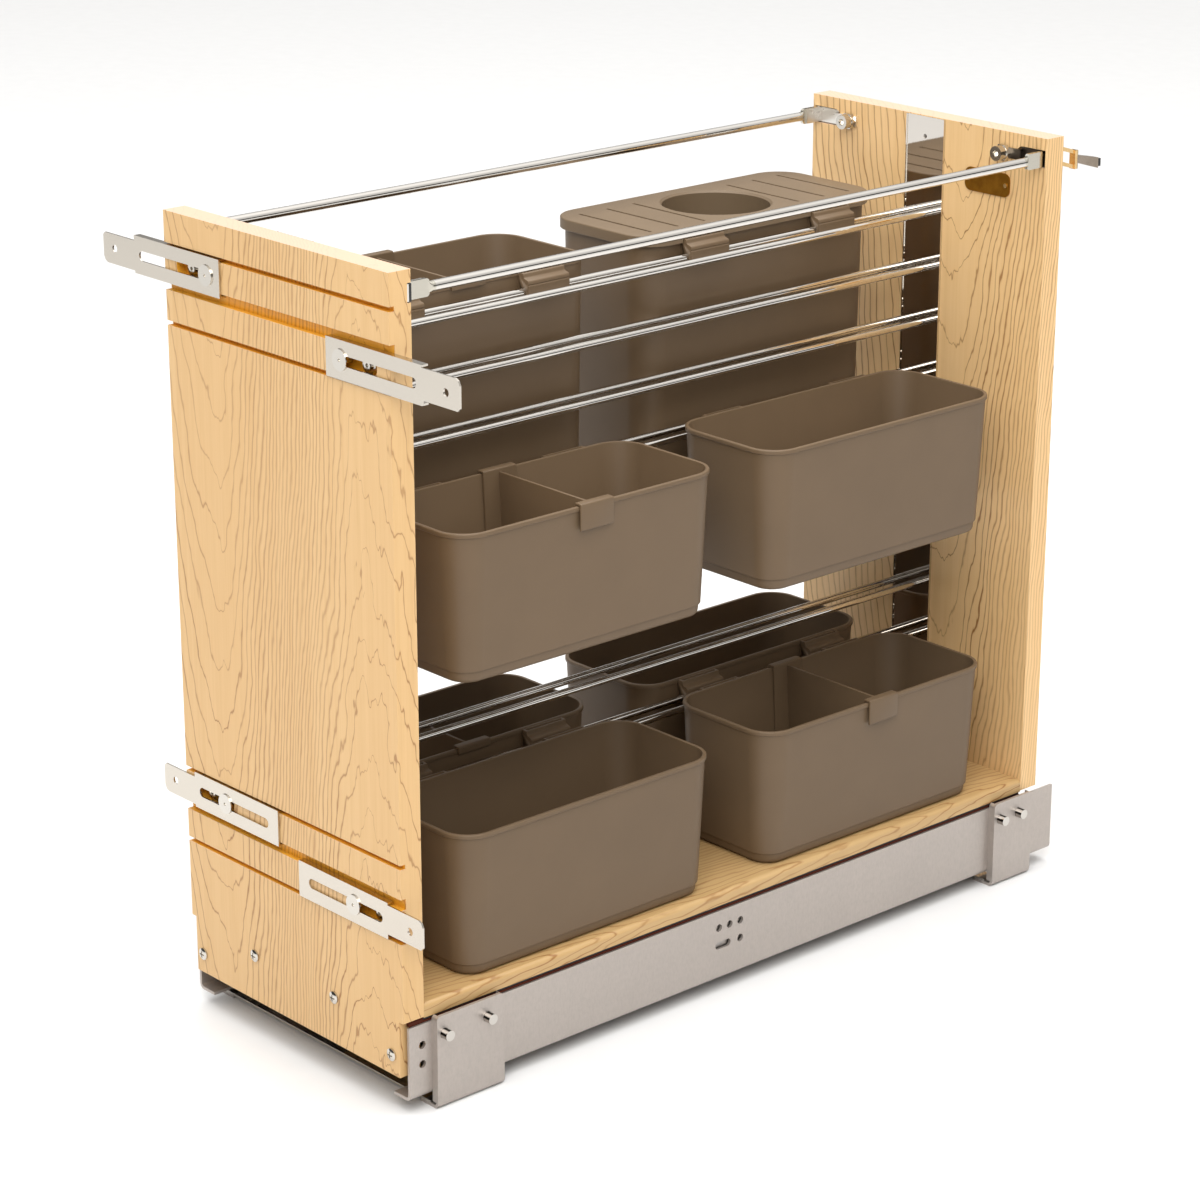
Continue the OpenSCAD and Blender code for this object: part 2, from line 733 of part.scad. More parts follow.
// Bent straps between the rail tabs and the bolts, one at each end of each rail: a leg beside
// the tab, a wide part in the pocket and a narrow part that steps up to the bolt
module rail_straps() {
    leg_x = rail_x - rail_flat_t / 2 - strap_t;
    deep_y = inner_front_y - strap_deep;
    color("silver") for (side = [-1, 1], end = [-1, 1]) {
        end_x = end < 0 ? board_w / 2 - screw_gap : pocket_x[1] - screw_gap;
        sided(side) ended(end) difference() {
            union() {
                along_z(rail_z - strap_h / 2, rail_z + strap_h / 2) {
                    translate([strap_step_x - strap_t, deep_y])
                        square([end_x - strap_step_x + strap_t, strap_t]);
                    translate([leg_x, deep_y]) square([strap_t, strap_deep + strap_leg_l]);
                }
                along_z(rail_z - strap_neck_h / 2, rail_z + strap_neck_h / 2) {
                    translate([strap_step_x - strap_t, deep_y])
                        square([strap_t, strap_deep + strap_t]);
                    translate([rail_bolt_x - strap_end_r, inner_front_y])
                        square([strap_step_x - rail_bolt_x + strap_end_r, strap_t]);
                }
            }
            rod_y(bolt_d + 2 * screw_gap, rail_bolt_x, rail_z, inner_front_y - cut,
                inner_front_y + strap_t + cut);
        }
    }
}

// Extrudes an (x, y) outline from z0 to z1
module along_z(z0, z1) {
    translate([0, 0, z0]) linear_extrude(z1 - z0) children();
}

module rail_bolts() {
    collar_y = inner_front_y + strap_t;
    head_y = collar_y + bolt_collar_t;
    color("whitesmoke") for (side = [-1, 1], end = [-1, 1]) {
        sided(side) ended(end) difference() {
            union() {
                rod_y(bolt_d, rail_bolt_x, rail_z, inner_front_y - bolt_depth, collar_y + cut);
                translate([rail_bolt_x, collar_y, rail_z]) rotate([-90, 0, 0])
                    cylinder(d = bolt_collar_w, h = bolt_collar_t, $fn = 6);
                rod_y(bolt_head_d, rail_bolt_x, rail_z, head_y - cut, head_y + bolt_head_l);
            }
            translate([rail_bolt_x, head_y + bolt_head_l - 3, rail_z]) rotate([-90, 0, 0])
                cylinder(d = 5, h = 3 + cut, $fn = 6);
        }
    }
}

// Rear catch: a plate on the back board with two arms that slope down to a bar, and a tongue
// that widens towards its black tip
module rear_catch(side) {
    bar_y = back_y + 15;
    bar_z = rail_z - catch_bar_drop;
    tip_z = rail_z - catch_tip_drop;
    tongue_end_y = back_y + catch_reach - catch_tip_l;
    color("silver") sided(side) {
        span([rail_x - 7, back_y, rail_z - 9], [rail_x + 3, back_y + 1.5, rail_z + 9]);
        along_x(rail_x - 2, rail_x + 1) for (s = [-1, 1]) {
            polygon([[back_y + 1, rail_z + s * 5 - 1.4], [back_y + 1, rail_z + s * 5 + 1.4],
                [bar_y + 1, bar_z + s * 5 + 1.3], [bar_y + 1, bar_z + s * 5 - 1.3]]);
        }
        span([rail_x - 3, bar_y, bar_z - 6.3], [rail_x + 2, bar_y + 3, bar_z + 6.3]);
        along_x(rail_x - 3, rail_x + 2) polygon([[bar_y + 2, bar_z - 2.2],
            [tongue_end_y, tip_z - 3.6], [tongue_end_y, tip_z + 3.6], [bar_y + 2, bar_z + 3]]);
    }
}

module catch_tips() {
    tip_y = back_y + catch_reach - catch_tip_l;
    tip_z = rail_z - catch_tip_drop;
    color("black") for (side = [-1, 1]) {
        sided(side) span([rail_x - 2.5, tip_y, tip_z - 2.6],
            [rail_x + 1.5, back_y + catch_reach, tip_z + 2.6]);
    }
}

module name_plate() {
    color("goldenrod") difference() {
        translate([plate_x, inner_back_y, plate_z]) rotate([90, 0, 0])
            linear_extrude(plate_t) rounded_rect(plate_l, plate_h, 5);
        for (s = [-1, 1]) {
            rod_y(plate_pin_d + 2 * screw_gap, plate_x + s * plate_pin_x, plate_z,
                inner_back_y - plate_t - cut, inner_back_y + cut);
        }
    }
}

module name_plate_pins() {
    color("khaki") for (s = [-1, 1]) {
        rod_y(plate_pin_d, plate_x + s * plate_pin_x, plate_z, inner_back_y - plate_t,
            inner_back_y + plate_pin_l);
        rod_y(plate_pin_head_d, plate_x + s * plate_pin_x, plate_z,
            inner_back_y - plate_t - plate_pin_head_t, inner_back_y - plate_t);
    }
}

// Cross-head screw whose head lies on the plane y = 0 and whose shank runs to +Y
module cross_screw(head_d, head_h, shank_l) {
    rotate([-90, 0, 0]) difference() {
        union() {
            cylinder(d = screw_d, h = shank_l);
            intersection() {
                translate([0, 0, -head_h]) cylinder(d = head_d, h = head_h);
                translate([0, 0, head_d - head_h]) sphere(r = head_d);
            }
        }
        for (a = [0, 90]) {
            rotate([0, 0, a]) translate([-head_d * 0.28, -0.5, -head_h - cut])
                cube([head_d * 0.56, 1, 1.2 + cut]);
        }
    }
}

module front_screws() {
    color("whitesmoke") for (p = front_screws_at, side = [-1, 1]) {
        translate([side * p[0], front_y, p[1]])
            cross_screw(screw_head_d, screw_head_h, board_t + shelf_bracket_t + 0.5);
    }
}

module back_screws() {
    color("whitesmoke") for (p = back_screws_at, side = [-1, 1]) {
        translate([side * p[0], back_y, p[1]]) rotate([0, 0, 180])
            cross_screw(screw_head_d, screw_head_h, board_t + shelf_bracket_t + 0.5);
    }
}

// Flanged screws at the bottom of the recesses behind the door brackets
module bracket_screws() {
    flange_y = front_y + recess_depth - 2;
    color("silver") for (z = [upper_groove_z, lower_groove_z], side = [-1, 1]) {
        mid_z = bracket_mid_z(z, -side);
        difference() {
            union() {
                rod_y(12, side * bracket_screw_x, mid_z, flange_y, front_y + recess_depth);
                rod_y(5.6, side * bracket_screw_x, mid_z, flange_y - 1.6, flange_y + 1);
                rod_y(screw_d, side * bracket_screw_x, mid_z, flange_y,
                    front_y + bracket_screw_depth);
            }
            rod_y(2.6, side * bracket_screw_x, mid_z, flange_y - 2, flange_y);
        }
    }
}

// Discs that clamp the door brackets through their slots
module bracket_clamps() {
    color("white") for (z = [upper_groove_z, lower_groove_z], side = [-1, 1]) {
        mid_z = bracket_mid_z(z, -side);
        difference() {
            union() {
                rod_y(clamp_d, side * clamp_x, mid_z, front_y - bracket_proud - clamp_t,
                    front_y - bracket_proud);
                rod_y(clamp_shank_d, side * clamp_x, mid_z, front_y - bracket_proud - 0.1,
                    front_y + bracket_screw_depth);
            }
            rod_y(2, side * clamp_x, mid_z, front_y - bracket_proud - clamp_t - cut,
                front_y - bracket_proud);
        }
    }
}

// Door bracket, drawn with its inner end at x = 0 and its neck towards +X
module door_bracket_shape() {
    neck_low = -bracket_h / 2 + 3.3;
    neck_top = neck_low + bracket_neck_h;
    difference() {
        union() {
            along_y(-bracket_proud, -slide_gap) {
                translate([0, -bracket_h / 2]) square([bracket_flange_l, bracket_h]);
                polygon([[bracket_flange_l - cut, neck_low], [bracket_l - 1.8, neck_low],
                    [bracket_l, neck_low + 1.8], [bracket_l, neck_top - 4],
                    [bracket_l - 1.3, neck_top - 1.3], [bracket_l - 4, neck_top],
                    [bracket_flange_l - cut, neck_top]]);
            }
            for (s = [-1, 1]) {
                translate([0, 0, s * (bracket_h / 2 - bracket_t / 2)])
                    span([0, -bracket_proud, -bracket_t / 2],
                        [bracket_flange_l, flange_reach, bracket_t / 2]);
            }
        }
        along_y(-bracket_proud - cut, 0) {
            for (x = bracket_slot) {
                translate([x, 0]) circle(d = bracket_slot_h);
            }
            translate([bracket_slot[0], -bracket_slot_h / 2])
                square([bracket_slot[1] - bracket_slot[0], bracket_slot_h]);
        }
        rod_y(door_hole_d, bracket_l - 12, (neck_low + neck_top) / 2 - 0.6,
            -bracket_proud - cut, 0);
    }
}

bracket_slot_h = 6.4;
bracket_slot = [13.2, bracket_flange_l - 8.2];

module door_bracket(side, groove_z, inner_end) {
    color("white")
        translate([side * (board_w / 2 - inner_end), front_y, bracket_mid_z(groove_z, -side)])
            rotate([0, side < 0 ? 180 : 0, 0]) door_bracket_shape();
}

// Sweeps an outline around a bin: x runs outward from the middle line of the rim's corners,
// and y is the height above the rim
module swept(points) {
    half_w = bin_w / 2 - bin_corner_r;
    half_l = bin_l / 2 - bin_corner_r;
    for (turn = [0 : 3]) {
        translate([turn == 0 || turn == 3 ? half_w : -half_w, turn < 2 ? half_l : -half_l, 0])
            rotate([0, 0, turn * 90]) rotate_extrude(angle = 90) polygon(points);
    }
    for (side = [0, 180]) {
        rotate([0, 0, side]) along_y(-half_l, half_l) translate([half_w, 0]) polygon(points);
        rotate([0, 0, side]) along_x(-half_w, half_w) translate([half_l, 0]) polygon(points);
    }
}

// Fills the middle of a swept outline between two heights
module swept_middle(z0, z1) {
    half_w = bin_w / 2 - bin_corner_r;
    half_l = bin_l / 2 - bin_corner_r;
    span([-half_w, -half_l, z0], [half_w, half_l, z1]);
}

// Bin of height h with its rim's middle at the origin and its hooks towards -X
module bin_shape(h, lean) {
    foot_z = bin_foot_h - h;
    foot_r = bin_corner_r - rim_out - lean * (h - bin_foot_h);
    base_r = foot_r - bin_foot_in - lean * bin_foot_h;
    floor_r = base_r - bin_wall;
    hook_in_x = bin_in_x - bin_x;
    lip_x = rod_x - bin_x - hook_r - hook_lip;
    difference() {
        union() {
            swept([[0, -h], [base_r - bin_foot_edge, -h], [base_r, bin_foot_edge - h],
                [foot_r - bin_foot_in, foot_z], [foot_r, foot_z],
                [bin_corner_r - rim_out - lean * rim_h, -rim_h], [bin_corner_r, -rim_h],
                [bin_corner_r, 0], [bin_corner_r - rim_out - bin_wall, 0],
                [floor_r, bin_floor + bin_foot_edge - h],
                [floor_r - bin_foot_edge, bin_floor - h], [0, bin_floor - h]]);
            swept_middle(-h, bin_floor - h);
            for (s = [-1, 1]) {
                along_y(s * hook_pitch / 2 - hook_w / 2, s * hook_pitch / 2 + hook_w / 2)
                    polygon(concat([[lip_x, -rod_below_rim - hook_low]],
                        [for (p = hook_side) [lip_x + p[0], -p[1]]],
                        [[hook_in_x, -hook_top], [hook_in_x + bin_wall, -hook_top],
                        [hook_in_x + bin_wall, -rod_below_rim - hook_low]]));
            }
        }
        for (s = [-1, 1]) {
            translate([rod_x - bin_x, s * hook_pitch / 2, -rod_below_rim]) {
                rod_y(2 * hook_r, 0, 0, -hook_w / 2 - cut, hook_w / 2 + cut);
                span([-hook_r, -hook_w / 2 - cut, -hook_low - cut],
                    [hook_r, hook_w / 2 + cut, 0]);
            }
        }
    }
}

// Places a bin on its side and end, with its rim at rim_z
module at_bin(side, end, rim_z) {
    sided(side) translate([bin_x, mid_y + end * bin_y, rim_z]) children();
}

module bin(side, end, rim_z, h, lean = bin_lean) {
    color("rosybrown") at_bin(side, end, rim_z) bin_shape(h, lean);
}

// Divider for a bin of height h, in the bin's own place
module divider_shape(h, wall_lean) {
    top_x = bin_w / 2 - rim_out - bin_wall - clip_gap;
    lean = (wall_lean * h + bin_foot_in) / (h - bin_floor - bin_foot_edge);
    low_z = bin_floor + bin_foot_edge + 0.5 - h;
    low_x = top_x + lean * low_z;
    out_x = bin_w / 2 + clip_gap;
    along_y(-divider_t / 2, divider_t / 2)
        polygon([[-low_x, low_z], [low_x, low_z], [top_x, -0.5], [-top_x, -0.5]]);
    for (s = [-1, 1]) {
        tab = s < 0 ? inner_tab : clip_tab;
        along_y(-clip_w / 2, clip_w / 2)
            polygon([[s * (low_x - clip_t), low_z], [s * low_x, low_z], [s * top_x, 0],
                [s * top_x, clip_gap + clip_t], [s * (top_x - clip_t), clip_gap + clip_t],
                [s * (top_x - clip_t), 0]]);
        along_y(-clip_w / 2, clip_w / 2)
            polygon([[s * (top_x - clip_t), clip_gap], [s * (top_x - clip_t), clip_gap + clip_t],
                [s * (out_x + clip_t), clip_gap + clip_t],
                [s * (out_x + clip_t), clip_gap + clip_t - tab],
                [s * out_x, clip_gap + clip_t - tab], [s * out_x, clip_gap]]);
    }
}

module divider(side, end, rim_z, h, lean = bin_lean) {
    color("sienna") at_bin(side, end, rim_z) divider_shape(h, lean);
}

// Lid that lies on a tall bin, with a round hole, a collar under it and shallow slots on
// both sides of it
module bin_lid() {
    top_z = lid_gap + lid_edge_h;
    ring_r = bin_corner_r - rim_out - bin_wall - lid_ring_gap;
    low_ring_r = ring_r - lid_ring_h * tall_lean;
    skirt_r = bin_corner_r + lid_over;
    notch_w = hook_w + 2 * lid_notch_gap;
    color("tan") at_bin(-1, 1, tall_rim_z) difference() {
        union() {
            swept([[0, top_z - lid_t], [ring_r - lid_ring_t, top_z - lid_t],
                [low_ring_r - lid_ring_t, -lid_ring_h], [low_ring_r, -lid_ring_h],
                [ring_r, lid_gap], [skirt_r - lid_skirt_t, lid_gap],
                [skirt_r - lid_skirt_t, -lid_skirt_h], [skirt_r, -lid_skirt_h],
                [skirt_r, top_z], [0, top_z]]);
            swept_middle(top_z - lid_t, top_z);
            translate([0, 0, top_z - lid_collar_h])
                cylinder(d = lid_hole_d + 2 * lid_collar_t, h = lid_collar_h);
        }
        translate([0, 0, top_z - lid_collar_h - cut])
            cylinder(d = lid_hole_d, h = lid_collar_h + 2 * cut);
        for (s = [-1, 1]) {
            span([-bin_w / 2 - lid_over - cut, s * hook_pitch / 2 - notch_w / 2,
                -lid_skirt_h - cut], [-bin_w / 2, s * hook_pitch / 2 + notch_w / 2, 0]);
        }
        for (s = [-1, 1], i = [0 : 2]) {
            y = s * (lid_hole_d / 2 + lid_slot_start + i * lid_slot_pitch);
            span([-lid_slot_l / 2, y - lid_slot_w / 2, top_z - lid_slot_w],
                [lid_slot_l / 2, y + lid_slot_w / 2, top_z + cut]);
        }
    }
}

floor_bracket(-1, front_bracket_y, front_bracket_l, front_pins);  // front_bracket_left
floor_bracket(1, front_bracket_y, front_bracket_l, front_pins);  // front_bracket_right
floor_bracket(-1, rear_bracket_y, rear_bracket_l, rear_pins);  // rear_bracket_left
floor_bracket(1, rear_bracket_y, rear_bracket_l, rear_pins);  // rear_bracket_right
cross_plate(front_bracket_y, front_bracket_l);  // front_cross_plate
cross_plate(rear_bracket_y, rear_bracket_l);  // rear_cross_plate
bracket_pins();
runner_outer(-1);  // runner_outer_left
runner_outer(1);  // runner_outer_right
ball_cage_outer(-1);  // ball_cage_outer_left
ball_cage_outer(1);  // ball_cage_outer_right
runner_middle(-1);  // runner_middle_left
runner_middle(1);  // runner_middle_right
ball_cage_inner(-1);  // ball_cage_inner_left
ball_cage_inner(1);  // ball_cage_inner_right
runner_inner(-1);  // runner_inner_left
runner_inner(1);  // runner_inner_right
front_board();
back_board();
base_shelf();
shelf_bracket(-1, front_foot_x - 3, front_screws_at);  // shelf_bracket_front
shelf_bracket(1, back_foot_x - 2, back_screws_at);  // shelf_bracket_rear
channel(-1);  // front_channel
channel(1);  // back_channel
rod_row(1);  // rod_row_1
rod_row(2);  // rod_row_2
rod_row(3);  // rod_row_3
rod_row(4);  // rod_row_4
rod_row(5);  // rod_row_5
rod_row(6);  // rod_row_6
top_rail(-1);  // top_rail_left
top_rail(1);  // top_rail_right
rail_straps();
rail_bolts();
rear_catch(-1);  // rear_catch_left
rear_catch(1);  // rear_catch_right
catch_tips();
name_plate();
name_plate_pins();
front_screws();
back_screws();
bracket_screws();
bracket_clamps();
door_bracket(-1, upper_groove_z, upper_bracket_in);  // door_bracket_upper_left
door_bracket(1, upper_groove_z, upper_bracket_in);  // door_bracket_upper_right
door_bracket(-1, lower_groove_z, lower_bracket_in);  // door_bracket_lower_left
door_bracket(1, lower_groove_z, lower_bracket_in);  // door_bracket_lower_right
bin(-1, -1, tall_rim_z, tall_h, tall_lean);  // tall_bin_front
bin(-1, 1, tall_rim_z, tall_h, tall_lean);  // tall_bin_rear
bin_lid();
bin(1, -1, hanging_rim_z, bin_h);  // hanging_bin_front
bin(1, 1, hanging_rim_z, bin_h);  // hanging_bin_rear
bin(1, -1, shelf_rim_z, bin_h);  // shelf_bin_right_front
bin(1, 1, shelf_rim_z, bin_h);  // shelf_bin_right_rear
bin(-1, -1, shelf_rim_z, bin_h);  // shelf_bin_left_front
bin(-1, 1, shelf_rim_z, bin_h);  // shelf_bin_left_rear
divider(-1, -1, tall_rim_z, tall_h, tall_lean);  // divider_tall
divider(1, -1, hanging_rim_z, bin_h);  // divider_hanging
divider(1, 1, shelf_rim_z, bin_h);  // divider_shelf_right
divider(-1, -1, shelf_rim_z, bin_h);  // divider_shelf_left
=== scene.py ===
"""Looks of the pull-out cabinet organizer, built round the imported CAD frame."""

import math

import bmesh
import bpy
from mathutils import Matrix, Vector


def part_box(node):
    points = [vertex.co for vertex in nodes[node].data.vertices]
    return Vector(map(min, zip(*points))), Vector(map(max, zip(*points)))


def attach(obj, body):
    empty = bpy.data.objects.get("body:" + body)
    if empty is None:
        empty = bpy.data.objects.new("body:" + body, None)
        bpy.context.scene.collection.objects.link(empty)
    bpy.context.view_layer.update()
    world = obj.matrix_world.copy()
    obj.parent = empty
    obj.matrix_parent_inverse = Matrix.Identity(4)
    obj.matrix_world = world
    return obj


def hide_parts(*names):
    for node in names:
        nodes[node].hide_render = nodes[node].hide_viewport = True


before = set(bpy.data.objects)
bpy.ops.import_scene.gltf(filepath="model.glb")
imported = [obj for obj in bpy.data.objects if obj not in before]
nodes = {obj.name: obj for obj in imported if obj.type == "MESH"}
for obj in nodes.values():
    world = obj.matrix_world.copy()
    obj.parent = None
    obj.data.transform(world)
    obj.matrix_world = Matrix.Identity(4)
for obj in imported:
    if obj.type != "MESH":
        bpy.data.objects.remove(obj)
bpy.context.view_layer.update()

MM = 0.001

# Camera of the photograph: place and aim in metres, lens and sensor in millimetres
EYE = Vector((1.5811, -1.4695, 0.9799))
TARGET = Vector((-0.0329, -0.0198, 0.2296))
LENS = 103.65
SENSOR = 36.0

# Where the rear catches' arms end and the duller tongue starts, and the middle of the top rails
# with the reach of their round part on both sides, along Y in metres
CATCH_BEND_Y = 0.2825
RAIL_MIDDLE_Y, RAIL_ROUND_REACH = -0.0198, 0.2495

# Sizes shared with the CAD, in millimetres
ROD_X = 7.6
BIN_IN_X, BIN_W, BIN_L = 12.4, 93.4, 213.0
BIN_R, WALL, RIM_OUT, RIM_H = 21.0, 1.8, 0.9, 3.0
FOOT_H, FOOT_IN, FLOOR_T, FOOT_ROUND = 7.5, 1.2, 2.2, 3.4
SHORT_H, TALL_H = 95.5, 223.0
LEAN = {SHORT_H: 0.045, TALL_H: 0.015}
HOLE_R, COLLAR_T, COLLAR_H = 36.5, 1.5, 26.0
ROD_DROP, HOOK_W, HOOK_PITCH = 12.2, 34.0, 117.0
HOOK_R, HOOK_LIP, HOOK_LOW = 2.85, 1.95, 2.0
CLIP_W, CLIP_T, CLIP_GAP, OUTER_TAB, INNER_TAB = 26.5, 1.5, 0.3, 17.0, 5.4
DIVIDER_T, DIVIDER_LIFT = 2.0, 4.0
LID_GAP, LID_EDGE_H, LID_T, LID_OVER, LID_SKIRT_H, LID_SKIRT_T = 0.3, 3.8, 3.0, 2.4, 3.4, 1.6
LID_SLOT_HALF_L, LID_SLOT_HALF_W, LID_SLOT_PITCH, LID_SLOT_DEEP = 35, 1.1, 24, 2.7

# Steps of a rounded corner of a bin or the lid, and angle above which an edge stays sharp
CORNER_STEPS, SHARP_ANGLE = 12, 32

# Rings of the maple, in millimetres: how far they climb from valley to ridge, how far apart they
# are, and how far they sway across the board, are ragged and drift along it
RING_RISE, RING_STEP, RING_SWAY, RING_RAGGED, RING_DRIFT = 1150.0, 40.0, 42.0, 105.0, 90.0
# What the rings' turn loses left of the valley and past the ridge, as a share of it
TURN_LEFT, TURN_PAST = 0.4, 0.55
# Distances from the middle of a ring's line at which the line and its halo start to fade and are
# gone, in millimetres, and the halo's strength
LINE_FADE, HALO_FADE, HALO = (0.24, 0.62), (0.5, 1.1), 0.22
# Colour of the saw-cut ends, whiter partly as painted light on the tops, and factors that paint an
# orange shade on the maple inside the front board's grooves
END_GRAIN_WITH_TOP_LIGHT = (0.575, 0.42, 0.325)
GROOVE_PAINTED_SHADE = (1.2, 0.88, 0.12)

# Grey levels of the world by direction, from straight down (0) to straight up (1)
SKY = ((0.0, 0.7), (0.49, 0.5), (0.505, 0.01), (0.60, 0.01), (0.635, 0.40), (0.80, 0.62),
       (0.92, 1.0), (1.0, 1.0))
SKY_STRENGTH, SKY_WARMTH = 1.55, (1.0, 0.99, 0.97)
FLOOR_HALF = 30


# Camera, light and floor

def make_camera():
    data = bpy.data.cameras.new("photo_camera")
    data.lens, data.sensor_width = LENS, SENSOR
    data.clip_start, data.clip_end = 0.05, 60
    cam = bpy.data.objects.new("photo_camera", data)
    bpy.context.scene.collection.objects.link(cam)
    cam.location = EYE
    cam.rotation_euler = (TARGET - EYE).to_track_quat("-Z", "Y").to_euler()
    bpy.context.scene.camera = cam


def area_light(name, place, aim, width, height, power, colour=(1, 1, 1)):
    data = bpy.data.lights.new(name, "AREA")
    data.shape = "RECTANGLE"
    data.size, data.size_y = width, height
    data.energy, data.color = power, colour
    lamp = bpy.data.objects.new(name, data)
    bpy.context.scene.collection.objects.link(lamp)
    lamp.location = place
    lamp.rotation_euler = (Vector(aim) - Vector(place)).to_track_quat("-Z", "Y").to_euler()


def make_world():
    world = bpy.data.worlds.new("studio")
    bpy.context.scene.world = world
    world.use_nodes = True
    tree = world.node_tree
    tree.nodes.clear()
    out = tree.nodes.new("ShaderNodeOutputWorld")
    back = tree.nodes.new("ShaderNodeBackground")
    ramp = tree.nodes.new("ShaderNodeValToRGB")
    split = tree.nodes.new("ShaderNodeSeparateXYZ")
    place = tree.nodes.new("ShaderNodeTexCoord")
    # the direction's height goes from -1 to 1, and the ramp from 0 to 1
    half = tree.nodes.new("ShaderNodeMath")
    half.operation = "MULTIPLY_ADD"
    half.inputs[1].default_value = half.inputs[2].default_value = 0.5
    stops = ramp.color_ramp.elements
    for end, (at, level) in ((0, SKY[0]), (1, SKY[-1])):
        stops[end].position, stops[end].color = at, (level, level, level, 1)
    for at, level in SKY[1:-1]:
        stop = stops.new(at)
        stop.color = (*(level * c for c in SKY_WARMTH), 1)
    back.inputs["Strength"].default_value = SKY_STRENGTH
    tree.links.new(place.outputs["Generated"], split.inputs[0])
    tree.links.new(split.outputs["Z"], half.inputs[0])
    tree.links.new(half.outputs[0], ramp.inputs[0])
    tree.links.new(ramp.outputs[0], back.inputs["Color"])
    tree.links.new(back.outputs[0], out.inputs[0])


def make_floor():
    corners = [(x * FLOOR_HALF, y * FLOOR_HALF, 0) for x, y in ((-1, -1), (1, -1), (1, 1), (-1, 1))]
    mesh = bpy.data.meshes.new("floor")
    mesh.from_pydata(corners, [], [(0, 1, 2, 3)])
    mesh.materials.append(floor_paper("floor_paper"))
    floor = bpy.data.objects.new("floor", mesh)
    bpy.context.scene.collection.objects.link(floor)


# Materials

class Shader:
    """A small helper that adds nodes to one material."""

    def __init__(self, name):
        self.mat = bpy.data.materials.new(name)
        self.mat.use_nodes = True
        self.tree = self.mat.node_tree
        self.bsdf = self.tree.nodes["Principled BSDF"]

    def node(self, kind, **values):
        made = self.tree.nodes.new("ShaderNode" + kind)
        for key, value in values.items():
            setattr(made, key, value)
        return made

    def link(self, source, target):
        self.tree.links.new(source, target)

    def fixed(self, **values):
        for key, value in values.items():
            self.bsdf.inputs[key.replace("_", " ")].default_value = value

    def mapped(self, vector, scale, shift):
        mapping = self.node("Mapping")
        mapping.inputs["Scale"].default_value = scale
        mapping.inputs["Location"].default_value = shift
        self.link(vector, mapping.inputs["Vector"])
        return mapping.outputs[0]

    def place(self, scale=(1, 1, 1), shift=(0, 0, 0)):
        """Object coordinates in metres, scaled and shifted."""
        return self.mapped(self.node("TexCoord").outputs["Object"], scale, shift)

    def axes(self):
        """The X, Y and Z outputs of the object coordinates."""
        split = self.node("SeparateXYZ")
        self.link(self.node("TexCoord").outputs["Object"], split.inputs[0])
        return split.outputs

    def facing(self):
        """The X, Y and Z outputs of the surface's direction."""
        split = self.node("SeparateXYZ")
        self.link(self.node("NewGeometry").outputs["Normal"], split.inputs[0])
        return split.outputs

    def noise(self, vector, scale, detail=3.0, rough=0.5):
        made = self.node("TexNoise")
        made.inputs["Scale"].default_value = scale
        made.inputs["Detail"].default_value = detail
        made.inputs["Roughness"].default_value = rough
        self.link(vector, made.inputs["Vector"])
        return made.outputs["Fac"]

    def ramp(self, value, stops):
        """A ramp of (place, colour or grey level) stops."""
        made = self.node("ValToRGB")
        marks = made.color_ramp.elements
        while len(marks) > 1:
            marks.remove(marks[-1])
        for i, (at, colour) in enumerate(stops):
            mark = marks[0] if i == 0 else marks.new(at)
            mark.position = at
            mark.color = (*colour, 1) if isinstance(colour, tuple) else (colour,) * 3 + (1,)
        self.link(value, made.inputs[0])
        return made.outputs[0]

    def math(self, how, a, b=None, c=None):
        made = self.node("Math", operation=how)
        for i, value in enumerate((a, b, c)):
            if value is None:
                continue
            if isinstance(value, (int, float)):
                made.inputs[i].default_value = value
            else:
                self.link(value, made.inputs[i])
        return made.outputs[0]

    def mix(self, how, factor, a, b):
        made = self.node("Mix", data_type="RGBA", blend_type=how)
        for socket, value in ((made.inputs[0], factor), (made.inputs[6], a), (made.inputs[7], b)):
            if isinstance(value, (int, float)):
                socket.default_value = value
            elif isinstance(value, tuple):
                socket.default_value = (*value, 1)
            else:
                self.link(value, socket)
        return made.outputs[2]

    def bump(self, height, strength, distance):
        made = self.node("Bump")
        made.inputs["Strength"].default_value = strength
        made.inputs["Distance"].default_value = distance
        self.link(height, made.inputs["Height"])
        self.link(made.outputs[0], self.bsdf.inputs["Normal"])

    def coloured(self, colour, rough):
        self.link(colour, self.bsdf.inputs["Base Color"])
        self.link(rough, self.bsdf.inputs["Roughness"])


def shade(colour, *factors):
    """The colour times one factor, or times three."""
    factors = factors * 3 if len(factors) == 1 else factors
    return tuple(c * k for c, k in zip(colour, factors))


